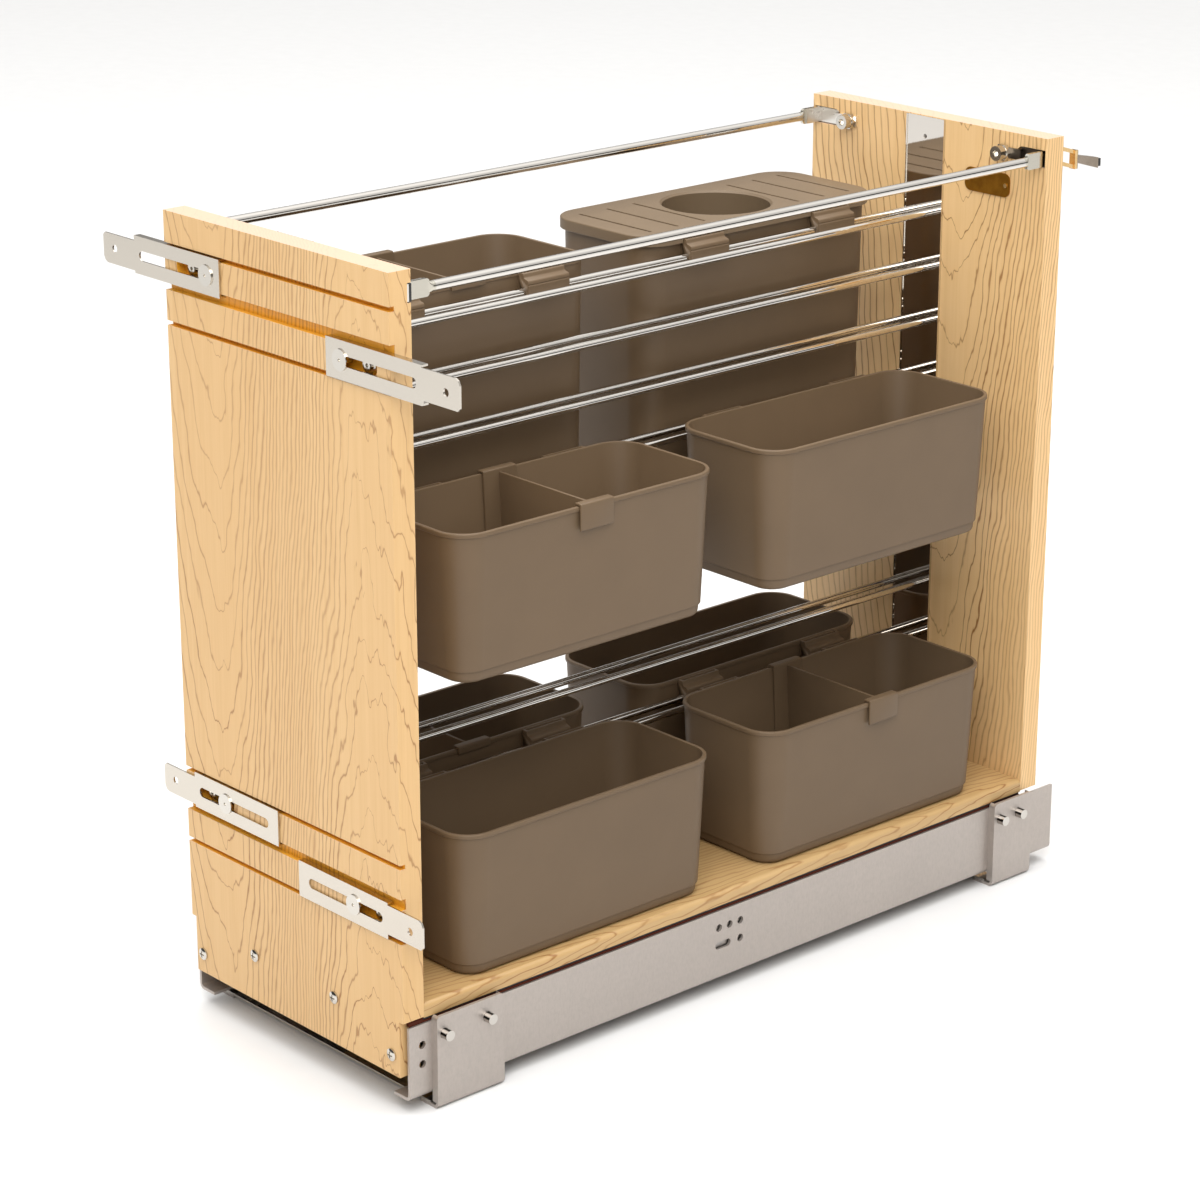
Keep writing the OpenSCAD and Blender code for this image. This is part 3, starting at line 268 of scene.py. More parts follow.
def wood(name, grain, face, middle, reach, seed, light, dark, groove_shade=None):
    """Lacquered maple. grain is the axis the fibres follow and face the depth of the face that
    shows most, in metres. The rings cut that face in thin brown lines that bend round a valley at
    middle and run closest together half of reach beside it, both in millimetres. groove_shade
    holds the depths along Y, the half width and the top and low ends between which the face's
    grooves get painted shade, a deep orange, in metres."""
    s = Shader(name)
    x, y, z = s.axes()
    along, across, depth = (z, x, y) if grain == "Z" else (y, x, z)
    local = s.node("CombineXYZ")
    for i, axis in enumerate((across, depth, along)):
        s.link(axis, local.inputs[i])

    def field(scale, shift):
        return s.mapped(local.outputs[0], scale, shift)

    def centred(value):
        return s.math("ADD", value, -0.5)

    # the place across the board, in millimetres from the valley, shallower on its far side
    sway = s.noise(field((7, 7, 2.4), (seed, 0, 0)), 1.0, 2.0)
    side = s.math("MULTIPLY_ADD", s.math("ADD", depth, -face), 1.3, across)
    side = s.math("MULTIPLY_ADD", side, 1000.0, -middle)
    side = s.math("MULTIPLY_ADD", centred(sway), RING_SWAY, side)
    past = s.math("MAXIMUM", s.math("ADD", side, -reach), 0.0)
    steep = s.math("MULTIPLY_ADD", s.math("LESS_THAN", side, 0.0), -TURN_LEFT, 1.0)
    turn = s.math("MULTIPLY_ADD", past, -TURN_PAST, s.math("MULTIPLY", side, steep))
    turn = s.math("MULTIPLY", turn, math.pi / reach)
    steep = s.math("MULTIPLY_ADD", s.math("GREATER_THAN", past, 0.0), -TURN_PAST, steep)
    # height of the rings along the board, so that each ring is a level line
    kink = s.noise(field((62, 62, 17), (0, seed, 0)), 1.0, 3.0, 0.55)
    drift = s.noise(field((3, 3, 11), (seed, seed, 0)), 1.0, 2.0)
    rise = s.math("MULTIPLY", s.math("COSINE", turn), RING_RISE / 2)
    rise = s.math("MULTIPLY_ADD", along, 1000.0, rise)
    ragged = s.ramp(s.math("MULTIPLY_ADD", side, 0.01, 0.5), ((0.4, 0.45), (0.9, 1.0)))
    rise = s.math("MULTIPLY_ADD", s.math("MULTIPLY", centred(kink), ragged), RING_RAGGED, rise)
    rise = s.math("MULTIPLY_ADD", centred(drift), RING_DRIFT, rise)
    cell = s.math("MULTIPLY", rise, 1 / RING_STEP)
    # distance from the nearest ring in millimetres, on the face
    slope = s.math("ABSOLUTE", s.math("SINE", turn))
    slope = s.math("MULTIPLY", slope, RING_RISE / 2 * math.pi / reach)
    slope = s.math("MULTIPLY", slope, steep)
    grade = s.math("SQRT", s.math("MULTIPLY_ADD", slope, slope, 1.0))
    off = s.math("ABSOLUTE", centred(s.math("FRACT", cell)))
    off = s.math("DIVIDE", s.math("MULTIPLY", off, RING_STEP), grade)
    line = s.ramp(off, ((LINE_FADE[0], 1.0), (LINE_FADE[1], 0.0)))
    halo = s.ramp(off, ((HALO_FADE[0], HALO), (HALO_FADE[1], 0.0)))
    # rings differ in strength, and fade in patches and where they run close together
    each = s.node("TexWhiteNoise", noise_dimensions="1D")
    s.link(s.math("FLOOR", cell), each.inputs["W"])
    line = s.math("MULTIPLY", line, s.math("MULTIPLY_ADD", each.outputs["Value"], 0.35, 0.65))
    patch = s.noise(field((11, 11, 3.2), (seed, seed, 0)), 1.0, 2.0)
    line = s.math("MULTIPLY", line, s.ramp(patch, ((0.36, 0.6), (0.58, 1.0))))
    dense = s.math("MULTIPLY", s.math("ADD", grade, -8.0), 0.12)
    line = s.math("MULTIPLY", line, s.ramp(dense, ((0.0, 1.0), (1.0, 0.45))))
    line = s.math("MAXIMUM", line, halo)

    # fibres, small flecks and a slow change of tone below the lines
    streak = s.noise(field((170, 170, 2.6), (0, 0, seed)), 1.0, 3.0, 0.65)
    fleck = s.noise(field((950, 950, 26), (seed, 0, 0)), 1.0, 2.0)
    tone = s.noise(field((7, 7, 0.9), (0, seed, seed)), 1.0, 2.0)
    colour = s.ramp(tone, ((0.3, light), (0.75, shade(light, 0.95, 0.90, 0.83))))
    colour = s.mix("MIX", s.ramp(streak, ((0.42, 0.0), (0.70, 0.42))), colour,
                   shade(light, 0.86, 0.78, 0.66))
    colour = s.mix("MIX", s.ramp(fleck, ((0.50, 0.0), (0.80, 0.25))), colour,
                   shade(light, 0.80, 0.70, 0.55))
    colour = s.mix("MIX", s.math("MULTIPLY", line, 0.95), colour, dark)
    if grain == "Z":
        # the saw-cut end grain on top is paler, partly its own tone and partly painted light from
        # above
        lit_top = s.ramp(s.facing()["Z"], ((0.6, 0.0), (0.9, 0.8)))
        colour = s.mix("MIX", lit_top, colour, END_GRAIN_WITH_TOP_LIGHT)
    # painted shade: the maple inside the grooves turns deep orange, as it looks in their shadow
    if groove_shade:
        first_y, last_y, half_w, top_z, low_z = groove_shade
        inside = s.math("MULTIPLY", s.math("GREATER_THAN", y, first_y),
                        s.math("LESS_THAN", y, last_y))
        within = s.math("MULTIPLY", s.math("LESS_THAN", s.math("ABSOLUTE", x), half_w),
                        s.math("LESS_THAN", z, top_z))
        within = s.math("MULTIPLY", within, s.math("GREATER_THAN", z, low_z))
        colour = s.mix("MULTIPLY", s.math("MULTIPLY", inside, within), colour, GROOVE_PAINTED_SHADE)
    s.coloured(colour, s.math("MULTIPLY_ADD", fleck, 0.16, 0.36))
    s.fixed(Specular_IOR_Level=0.36, Coat_Weight=0.12, Coat_Roughness=0.22)
    height = s.math("SUBTRACT", s.math("MULTIPLY", fleck, 0.6), s.math("MULTIPLY", line, 0.25))
    s.bump(height, 0.14, 0.0004)
    return s.mat


def plastic(name, base):
    """Moulded plastic with a fine spark-eroded grain and a slight cloudiness."""
    s = Shader(name)
    here = s.place()
    grain = s.noise(here, 2600, 2.0, 0.55)
    cloud = s.noise(here, 26, 3.0, 0.6)
    colour = s.ramp(cloud, ((0.3, shade(base, 0.965)), (0.7, shade(base, 1.035))))
    colour = s.mix("MIX", s.ramp(grain, ((0.35, 0.0), (0.75, 0.10))), colour, shade(base, 0.82))
    s.coloured(colour, s.math("MULTIPLY_ADD", grain, 0.14, 0.42))
    s.fixed(Specular_IOR_Level=0.36)
    s.bump(grain, 0.16, 0.00012)
    return s.mat


def galvanised(name, base, metallic=0.75, rough=0.46):
    """Bare zinc-plated sheet: soft spangle, faint drawing lines and small handling marks."""
    s = Shader(name)
    cells = s.node("TexVoronoi")
    cells.inputs["Scale"].default_value = 210
    s.link(s.place(), cells.inputs["Vector"])
    lines = s.noise(s.place((1, 0.02, 1)), 1500, 2.0)
    smear = s.noise(s.place(shift=(0.3, 0.1, 0.2)), 13, 4.0, 0.6)
    colour = s.ramp(smear, ((0.3, shade(base, 0.95)), (0.72, shade(base, 1.04))))
    colour = s.mix("MIX", s.math("MULTIPLY", cells.outputs["Distance"], 0.14), colour,
                   shade(base, 0.72))
    mottle = s.noise(s.place((1, 1, 0.45)), 620, 3.0, 0.7)
    colour = s.mix("MIX", s.ramp(mottle, ((0.42, 0.0), (0.70, 0.30))), colour, shade(base, 0.74))
    smeared = s.math("MULTIPLY_ADD", smear, 0.14, rough - 0.07)
    s.coloured(colour, s.math("MULTIPLY_ADD", lines, 0.06, smeared))
    s.fixed(Metallic=metallic)
    s.bump(lines, 0.05, 0.0001)
    return s.mat


def smeared_chrome(s, base):
    """The smears on a bright bar and the colour they give it."""
    smear = s.noise(s.place((1, 0.3, 1)), 34, 4.0, 0.6)
    return smear, s.ramp(smear, ((0.3, shade(base, 0.97)), (0.7, base)))


def polished(name, base, rough, wear=0.05):
    """Bright plated steel: nearly a mirror, with faint smears that soften the reflections."""
    s = Shader(name)
    smear, colour = smeared_chrome(s, base)
    fine = s.noise(s.place((1, 0.03, 1)), 2200, 2.0)
    smeared = s.math("MULTIPLY_ADD", smear, wear, rough)
    s.coloured(colour, s.math("MULTIPLY_ADD", fine, wear * 0.5, smeared))
    s.fixed(Metallic=1.0)
    s.bump(fine, 0.015, 0.0001)
    return s.mat


def rail_chrome(name, base, dull):
    """Bright bar whose flattened ends are duller."""
    s = Shader(name)
    from_middle = s.math("ABSOLUTE", s.math("ADD", s.axes()["Y"], -RAIL_MIDDLE_Y))
    flat = s.math("GREATER_THAN", from_middle, RAIL_ROUND_REACH)
    bright = smeared_chrome(s, base)[1]
    s.coloured(s.mix("MIX", flat, bright, dull), s.math("MULTIPLY_ADD", flat, 0.16, 0.02))
    s.fixed(Metallic=1.0)
    return s.mat


def strap_metal(name):
    """Strip steel, bright, with painted shade, near black, on all at or right of the middle and
    behind it, where the right rail's rear end sits in its pocket.
    """
    s = Shader(name)
    x, y, _ = s.axes()
    bright = s.math("MAXIMUM", s.math("LESS_THAN", y, 0.0), s.math("LESS_THAN", x, 0.0))
    cloud = s.noise(s.place(), 120, 3.0, 0.6)
    # painted shade, near black, for the right rear pocket
    dark = s.ramp(cloud, ((0.3, (0.085, 0.07, 0.055)), (0.7, (0.13, 0.11, 0.09))))
    s.coloured(s.mix("MIX", bright, dark, (0.80, 0.77, 0.72)),
               s.math("MULTIPLY_ADD", cloud, 0.15, 0.22))
    s.fixed(Metallic=1.0)
    return s.mat


def pin_chrome(name):
    """Turned pins: painted reflections, dark and bright bands along the shank set by the surface's
    tilt, and a plain end.
    """
    s = Shader(name)
    facing_x, _, facing_z = s.facing()
    tilt = s.math("MULTIPLY_ADD", facing_z, 0.5, 0.5)
    # painted reflections: the bands follow how far the surface tilts up or down
    reflection_bands = s.ramp(tilt, ((0.52, (0.45, 0.42, 0.39)), (0.57, (0.02, 0.018, 0.016)),
                          (0.75, (0.02, 0.018, 0.016)), (0.79, (0.85, 0.82, 0.78)),
                          (0.96, (0.85, 0.82, 0.78)), (0.985, (0.03, 0.027, 0.024))))
    end = s.math("GREATER_THAN", s.math("ABSOLUTE", facing_x), 0.7)
    s.coloured(s.mix("MIX", end, reflection_bands, (0.60, 0.57, 0.53)),
               s.math("MULTIPLY_ADD", end, 0.30, 0.08))
    s.fixed(Metallic=1.0)
    return s.mat


def brass(name):
    """Aged brass plate: darker in the field, with a fine etched grain."""
    s = Shader(name)
    field = s.noise(s.place(), 160, 4.0, 0.6)
    etched = s.noise(s.place((1, 1, 2.5)), 1400, 3.0, 0.6)
    colour = s.ramp(field, ((0.3, (0.31, 0.135, 0.012)), (0.7, (0.47, 0.215, 0.022))))
    colour = s.mix("MIX", s.ramp(etched, ((0.45, 0.0), (0.7, 0.35))), colour, (0.20, 0.085, 0.012))
    s.coloured(colour, s.math("MULTIPLY_ADD", etched, 0.22, 0.34))
    s.fixed(Metallic=1.0)
    s.bump(etched, 0.25, 0.0002)
    return s.mat


def catch_metal(name):
    """Gold-passivated sheet; the tongue behind the arms is a duller grey-brown."""
    s = Shader(name)
    tongue = s.math("GREATER_THAN", s.axes()["Y"], CATCH_BEND_Y)
    cloud = s.noise(s.place(), 90, 4.0, 0.6)
    gold = s.ramp(cloud, ((0.3, (0.84, 0.60, 0.31)), (0.7, (0.70, 0.46, 0.20))))
    grey = s.ramp(cloud, ((0.3, (0.36, 0.30, 0.245)), (0.7, (0.27, 0.22, 0.17))))
    fine = s.noise(s.place((1, 0.05, 1)), 1800, 2.0)
    s.coloured(s.mix("MIX", tongue, gold, grey), s.math("MULTIPLY_ADD", fine, 0.15, 0.16))
    s.fixed(Metallic=0.95)
    s.bump(fine, 0.03, 0.0001)
    return s.mat


def maroon_shade(name):
    """Dark red-brown strip with a faint grain along it: painted shade, the colour of maple in deep
    shadow under the shelf's edge.
    """
    s = Shader(name)
    grain = s.noise(s.place((1, 0.04, 1)), 700, 3.0, 0.6)
    s.coloured(s.ramp(grain, ((0.3, (0.050, 0.009, 0.003)), (0.75, (0.080, 0.016, 0.006)))),
               s.math("MULTIPLY_ADD", grain, 0.2, 0.42))
    s.fixed(Specular_IOR_Level=0.12)
    s.bump(grain, 0.1, 0.0002)
    return s.mat


def rubber_and_shade(name):
    """Matt black with a fine grain: rubber on the catch tips, and painted shadow in the gaps under
    the shelf's edges and behind the front rail tabs.
    """
    s = Shader(name)
    grain = s.noise(s.place(), 1500)
    s.coloured(s.ramp(grain, ((0.3, 0.012), (0.8, 0.03))), s.math("MULTIPLY_ADD", grain, 0.2, 0.5))
    s.bump(grain, 0.3, 0.0002)
    return s.mat


def floor_paper(name):
    s = Shader(name)
    speck = s.noise(s.place(), 40, 2.0)
    s.link(s.ramp(speck, ((0.3, 0.69), (0.7, 0.705))), s.bsdf.inputs["Base Color"])
    s.fixed(Roughness=0.75)
    return s.mat


# Maple of the front board, a lighter copy for the back board that paints light on its shaded inner
# face, and a darker copy for the shelf that paints the shade round the bins
MAPLE, BACK_MAPLE_LIT, SHELF_MAPLE_SHADED = (0.672, 0.452, 0.222), (0.795, 0.548, 0.278), (0.52, 0.345, 0.157)
MAPLE_LINE = (0.27, 0.115, 0.03)
# Depths of the faces that show most, in metres along Y for the boards and Z for the shelf
FRONT_FACE_Y, BACK_FACE_Y, SHELF_TOP_Z = -0.3048, 0.2492, 0.0706
# Where the front board's grooves get painted shade: depths along Y, half width, top and low ends,
# in metres
GROOVE_SHADE_SPAN = (-0.3044, -0.2985, 0.1074, 0.522, 0.10)
MATS = {
    "front_wood": wood("maple_front", "Z", FRONT_FACE_Y, -60, 132, 3.1, MAPLE, MAPLE_LINE,
                       GROOVE_SHADE_SPAN),
    "back_wood_lit": wood("maple_back_painted_light", "Z", BACK_FACE_Y, 34, 150, 7.7, BACK_MAPLE_LIT, MAPLE_LINE),
    "shelf_wood": wood("maple_shelf_painted_shade", "Y", SHELF_TOP_Z, -20, 140, 12.3, SHELF_MAPLE_SHADED, MAPLE_LINE),
    "plastic": plastic("taupe_plastic", (0.134, 0.0875, 0.0485)),
    # the lid's plastic is a lighter copy of the bins': painted light on the lid, as its top looks
    # under the top light
    "lid_plastic_lit": plastic("taupe_plastic_lit_copy", (0.157, 0.108, 0.063)),
    "zinc": galvanised("zinc_sheet", (0.485, 0.436, 0.40)),
    "zinc_dark": galvanised("bearing_steel", (0.42, 0.40, 0.38), 0.9, 0.35),
    "chrome": polished("chrome_bar", (0.69, 0.66, 0.62), 0.02, 0.02),
    "mirror": polished("chrome_sheet", (0.69, 0.65, 0.60), 0.01, 0.02),
    "nickel": polished("nickel_sheet", (0.61, 0.565, 0.50), 0.14, 0.10),
    "strap": strap_metal("strap_with_painted_shade"),
    "rail": rail_chrome("chrome_rail", (0.69, 0.66, 0.62), (0.56, 0.53, 0.46)),
    "pin": pin_chrome("pin_chrome"),
    "catch": catch_metal("catch_metal"),
    "painted_shade": maroon_shade("painted_shade_edge"),
    "screw": polished("screw_steel", (0.62, 0.59, 0.54), 0.10, 0.08),
    "brass": brass("aged_brass"),
    "pin_brass": polished("pin_brass", (0.80, 0.58, 0.26), 0.2),
    "rubber_and_shade": rubber_and_shade("black_rubber"),
}


# Mesh helpers

def finish_mesh(name, mesh, mat, body, replaced=()):
    """Makes the mesh a piece that rides on a body and stands for the replaced CAD nodes."""
    mesh.validate()
    mesh.materials.append(MATS[mat])
    obj = bpy.data.objects.new(name, mesh)
    bpy.context.scene.collection.objects.link(obj)
    for face in mesh.polygons:
        face.use_smooth = True
    mesh.set_sharp_from_angle(angle=math.radians(SHARP_ANGLE))
    if replaced:
        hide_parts(*replaced)
    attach(obj, body)
    return obj


def ring(half_w, half_l, radius):
    """Points round a rounded rectangle, anticlockwise seen from above."""
    points = []
    for turn, (sx, sy) in enumerate(((1, 1), (-1, 1), (-1, -1), (1, -1))):
        for i in range(CORNER_STEPS + 1):
            a = math.radians(90 * turn + 90 * i / CORNER_STEPS)
            points.append((sx * (half_w - radius) + radius * math.cos(a),
                           sy * (half_l - radius) + radius * math.sin(a)))
    return points


def skin(bm, rings):
    """Faces between rings of as many vertices each, with a cap on the first and the last."""
    for low, high in zip(rings, rings[1:]):
        for i in range(len(low)):
            j = (i + 1) % len(low)
            bm.faces.new((low[i], low[j], high[j], high[i]))
    bm.faces.new(list(reversed(rings[0])))
    bm.faces.new(rings[-1])


def loft(bm, profile, half_w, half_l, radius):
    """Skins rings inset by each profile step (inset, height); the ends are closed."""
    skin(bm, [[bm.verts.new((x, y, z))
               for x, y in ring(half_w - inset, half_l - inset, radius - inset)]
              for inset, z in profile])


def arc(cx, cz, r, a0, a1, steps):
    """Points on an arc in the profile plane, angles in degrees."""
    return [(cx + r * math.cos(math.radians(a0 + (a1 - a0) * i / steps)),
             cz + r * math.sin(math.radians(a0 + (a1 - a0) * i / steps)))
            for i in range(steps + 1)]


def prism(bm, outline, y0, y1):
    """A solid whose (x, z) outline runs from y0 to y1."""
    skin(bm, [[bm.verts.new((x, y, z)) for x, z in outline] for y in (y0, y1)])


def upright(bm, outline, z0, z1):
    """A solid whose (x, y) outline runs from z0 up to z1."""
    skin(bm, [[bm.verts.new((x, y, z)) for x, y in outline] for z in (z0, z1)])


def box_outline(x0, z0, x1, z1):
    return [(x0, z0), (x1, z0), (x1, z1), (x0, z1)]


def rounded_outline(points, radii, steps):
    """Rounds the corners of a closed polygon, each by its own radius."""
    out = []
    n = len(points)
    for i, p in enumerate(points):
        p = Vector(p)
        a, b = Vector(points[i - 1]) - p, Vector(points[(i + 1) % n]) - p
        r = radii[i]
        if r <= 0:
            out.append(tuple(p))
            continue
        # a corner takes up less than half of each of its sides
        half = a.angle(b) / 2
        reach = min(r / math.tan(half), a.length * 0.49, b.length * 0.49)
        r = reach * math.tan(half)
        middle = p + (a.normalized() + b.normalized()).normalized() * (r / math.sin(half))
        start, end = p + a.normalized() * reach - middle, p + b.normalized() * reach - middle
        turn = start.angle_signed(end)
        for k in range(steps + 1):
            t = -turn * k / steps
            c, s = math.cos(t), math.sin(t)
            out.append((middle.x + start.x * c - start.y * s, middle.y + start.x * s + start.y * c))
    return out


def object_of(mesh):
    obj = bpy.data.objects.new("temp", mesh)
    bpy.context.scene.collection.objects.link(obj)
    return obj


def temp_object(bm):
    """An object of the closed shapes in bm, for modifiers; bm goes."""
    mesh = bpy.data.meshes.new("temp")
    bmesh.ops.recalc_face_normals(bm, faces=bm.faces)
    bm.to_mesh(mesh)
    bm.free()
    return object_of(mesh)


def baked(obj):
    """The object's mesh with its modifiers applied; the object goes."""
    graph = bpy.context.evaluated_depsgraph_get()
    mesh = bpy.data.meshes.new_from_object(obj.evaluated_get(graph), depsgraph=graph)
    bpy.data.objects.remove(obj)
    return mesh


def cut_with(obj, cutter, how="DIFFERENCE"):
    """The object with the cutter taken out of it, or joined to it; both old objects go."""
    mod = obj.modifiers.new("cut", "BOOLEAN")
    mod.operation, mod.solver, mod.object = how, "EXACT", cutter
    mesh = baked(obj)
    bpy.data.objects.remove(cutter)
    return object_of(mesh)


def drum(radius, middle_z, length, flare=0.0):
    """An upright cylinder round the origin, wider by flare at its top."""
    bm = bmesh.new()
    bmesh.ops.create_cone(bm, cap_ends=True, segments=96, radius1=radius,
                          radius2=radius + flare, depth=length)
    bmesh.ops.translate(bm, vec=(0, 0, middle_z), verts=bm.verts)
    return temp_object(bm)


def bevel(obj, width, segments, angle):
    """Adds a bevel on the edges that turn by more than angle, in degrees."""
    mod = obj.modifiers.new("edges", "BEVEL")
    mod.width, mod.segments = width, segments
    mod.limit_method, mod.angle_limit = "ANGLE", math.radians(angle)
    return mod


def eased(obj, width, segments=2, angle=40):
    bevel(obj, width, segments, angle).miter_outer = "MITER_ARC"
    return obj


def soften(node, width):
    """Rounds the edges of a CAD node that stays, by modifiers only."""
    obj = nodes[node]
    obj.modifiers.new("weld", "WELD").merge_threshold = 0.00001
    mod = bevel(obj, width, 2, 35)
    mod.use_clamp_overlap = True
    mod.harden_normals = True


def mirrored_in_x(bm):
    bmesh.ops.scale(bm, vec=(-1, 1, 1), verts=bm.verts)
    bmesh.ops.reverse_faces(bm, faces=bm.faces)


# Bins, dividers and lid

def hook_mesh():
    """One hook at the middle of a bin's side, in the bin's frame, with the slot in its top."""
    edge_x = -BIN_W / 2
    rod_x = ROD_X - BIN_IN_X - BIN_W / 2
    lip_x = rod_x - HOOK_R - HOOK_LIP
    low_z = -ROD_DROP - HOOK_LOW
    slot_x0, slot_x1, slot_z, slot_in = edge_x - 3.0, edge_x - 1.0, -4.6, 1.8
    channel = [(rod_x + HOOK_R, low_z)]
    channel += arc(rod_x, -ROD_DROP, HOOK_R, 0, 180, 12)
    channel += [(rod_x - HOOK_R, low_z)]
    # up the lip with its dip and bulge, and over the ridge to the bin's wall
    outer = rounded_outline(
        [(lip_x, low_z), (lip_x, -8.2), (lip_x + 0.5, -7.6), (lip_x + 0.1, -7.0),
         (lip_x + 0.4, -4.7), (lip_x + 3.0, -4.1), (lip_x + 4.6, -3.6), (lip_x + 5.2, -0.8),
         (edge_x, -0.6), (edge_x + 1.0, -0.6), (edge_x + 1.0, low_z)],
        [0.8, 0.4, 0.4, 0.6, 1.8, 2.5, 1.2, 0.9, 0, 0, 0], 5)
    bm = bmesh.new()
    prism(bm, channel[::-1] + outer, -HOOK_W / 2, HOOK_W / 2)
    hook = temp_object(bm)
    bm = bmesh.new()
    slot = rounded_outline([(slot_x0, slot_z), (slot_x0, 1), (slot_x1, 1), (slot_x1, slot_z)],
                           [0.6, 0, 0, 0.6], 3)
    prism(bm, slot, -HOOK_W / 2 + slot_in, HOOK_W / 2 - slot_in)
    hook = cut_with(hook, temp_object(bm))
    return baked(eased(hook, 0.45))


def bin_profile(height):
    """(inset, height) steps up the outside from the foot, over the rim and down inside."""
    lean = LEAN[height]
    foot_r = BIN_R - RIM_OUT - lean * (height - FOOT_H)
    base_r = foot_r - FOOT_IN - lean * FOOT_H
    foot, base = BIN_R - foot_r, BIN_R - base_r
    # the round of the base, the foot's side and the step above it
    profile = [(base + FOOT_ROUND * (1 - math.sin(math.radians(a))),
                -height + FOOT_ROUND * (1 - math.cos(math.radians(a))))
               for a in (0, 18, 36, 54, 72, 90)]
    profile += [(foot + FOOT_IN, -height + FOOT_H), (foot + 0.25, -height + FOOT_H),
                (foot, -height + FOOT_H + 0.3)]
    # below the rim, and over it with a round outer edge
    under = RIM_OUT + lean * RIM_H
    profile += [(under, -RIM_H - 0.05), (0.35, -RIM_H), (0.0, -RIM_H + 0.4), (0.0, -1.0)]
    profile += [(1.0 - 1.0 * math.cos(math.radians(a)), -1.0 + 1.0 * math.sin(math.radians(a)))
                for a in (22, 45, 68, 90)]
    inner = RIM_OUT + WALL
    profile += [(inner - 0.7, 0.0), (inner - 0.2, -0.2), (inner, -0.7)]
    # the inside, down to the fillet at the floor
    low_in, fillet = inner + lean * height + FOOT_IN, 4.6
    profile += [(low_in - 0.1 + fillet * (1 - math.cos(math.radians(a))),
                 -height + FLOOR_T + fillet * (1 - math.sin(math.radians(a))))
                for a in (0, 22, 45, 68, 90)]
    return profile


def bin_mesh(height, hook, mirrored):
    """A bin with its two hooks, in millimetres from the middle of its rim."""
    bm = bmesh.new()
    loft(bm, bin_profile(height), BIN_W / 2, BIN_L / 2, BIN_R)
    bmesh.ops.recalc_face_normals(bm, faces=bm.faces)
    for s in (-1, 1):
        start = len(bm.verts)
        bm.from_mesh(hook)
        bm.verts.ensure_lookup_table()
        for v in bm.verts[start:]:
            v.co.y += s * HOOK_PITCH / 2
    if mirrored:
        mirrored_in_x(bm)
    return bm


def placed_mesh(bm, name, place):
    """The mesh of bm, turned from millimetres to metres and moved to its place."""
    bmesh.ops.scale(bm, vec=(MM, MM, MM), verts=bm.verts)
    bmesh.ops.translate(bm, vec=place, verts=bm.verts)
    mesh = bpy.data.meshes.new(name)
    bm.to_mesh(mesh)
    bm.free()
    return mesh


def rim_place(node, proud=0.0):
    """Side of a bin and the middle of its rim, from the box of a CAD node that stands proud of the
    rim by so many millimetres."""
    low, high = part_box(node)
    side = 1 if (low[0] + high[0]) > 0 else -1
    x = side * (BIN_IN_X + BIN_W / 2) * MM
    return side, Vector((x, (low[1] + high[1]) / 2, high[2] - proud * MM))


def divider_parts(height):
    """The divider's plate and clips: an (x, z) outline, a width along the bin and an easing."""
    top_x = BIN_W / 2 - RIM_OUT - WALL - CLIP_GAP
    lean = (LEAN[height] * height + FOOT_IN) / (height - FLOOR_T - 3.5)
    low_z = FLOOR_T + DIVIDER_LIFT - height
    low_x = top_x + lean * low_z
    out_x = BIN_W / 2 + CLIP_GAP
    top_z = CLIP_GAP + CLIP_T
    plate = [(-low_x, low_z), (low_x, low_z), (top_x - 0.4, -0.5), (-top_x + 0.4, -0.5)]
    parts = [(plate, DIVIDER_T, 0.45)]
    for s, tab in ((-1, INNER_TAB), (1, OUTER_TAB)):
        outline = rounded_outline(
            [(low_x - CLIP_T, low_z), (low_x, low_z), (top_x, CLIP_GAP), (out_x, CLIP_GAP),
             (out_x, top_z - tab), (out_x + CLIP_T, top_z - tab), (out_x + CLIP_T, top_z),
             (top_x - CLIP_T, top_z)],
            [0.5, 0.3, 0.4, 0.3, 0.3, 0.7, 1.3, 1.0], 4)
        parts.append(([(s * x, z) for x, z in outline], CLIP_W, 0.5))
    return parts


def divider_mesh(height, mirrored):
    """A plate and two clips, in millimetres from the middle of the bin's rim."""
    pieces = []
    for outline, width, ease in divider_parts(height):
        bm = bmesh.new()
        prism(bm, outline, -width / 2, width / 2)
        pieces.append(baked(eased(temp_object(bm), ease)))
    bm = bmesh.new()
    for mesh in pieces:
        bm.from_mesh(mesh)
    if mirrored:
        mirrored_in_x(bm)
    return bm


def make_bins():
    """The eight bins and the four dividers."""
    hook = hook_mesh()
    for stem, height in (("tall_bin", TALL_H), ("hanging_bin", SHORT_H),
                         ("shelf_bin_right", SHORT_H), ("shelf_bin_left", SHORT_H)):
        for name in (stem + "_front", stem + "_rear"):
            side, place = rim_place(name)
            mesh = placed_mesh(bin_mesh(height, hook, side < 0), name + "_moulding", place)
            finish_mesh(name + "_moulding", mesh, "plastic", name, (name,))
    for name, height in (("divider_tall", TALL_H), ("divider_hanging", SHORT_H),
                         ("divider_shelf_right", SHORT_H), ("divider_shelf_left", SHORT_H)):
        side, place = rim_place(name, CLIP_GAP + CLIP_T)
        mesh = placed_mesh(divider_mesh(height, side < 0), name + "_moulding", place)
        finish_mesh(name + "_moulding", mesh, "plastic", name, (name,))


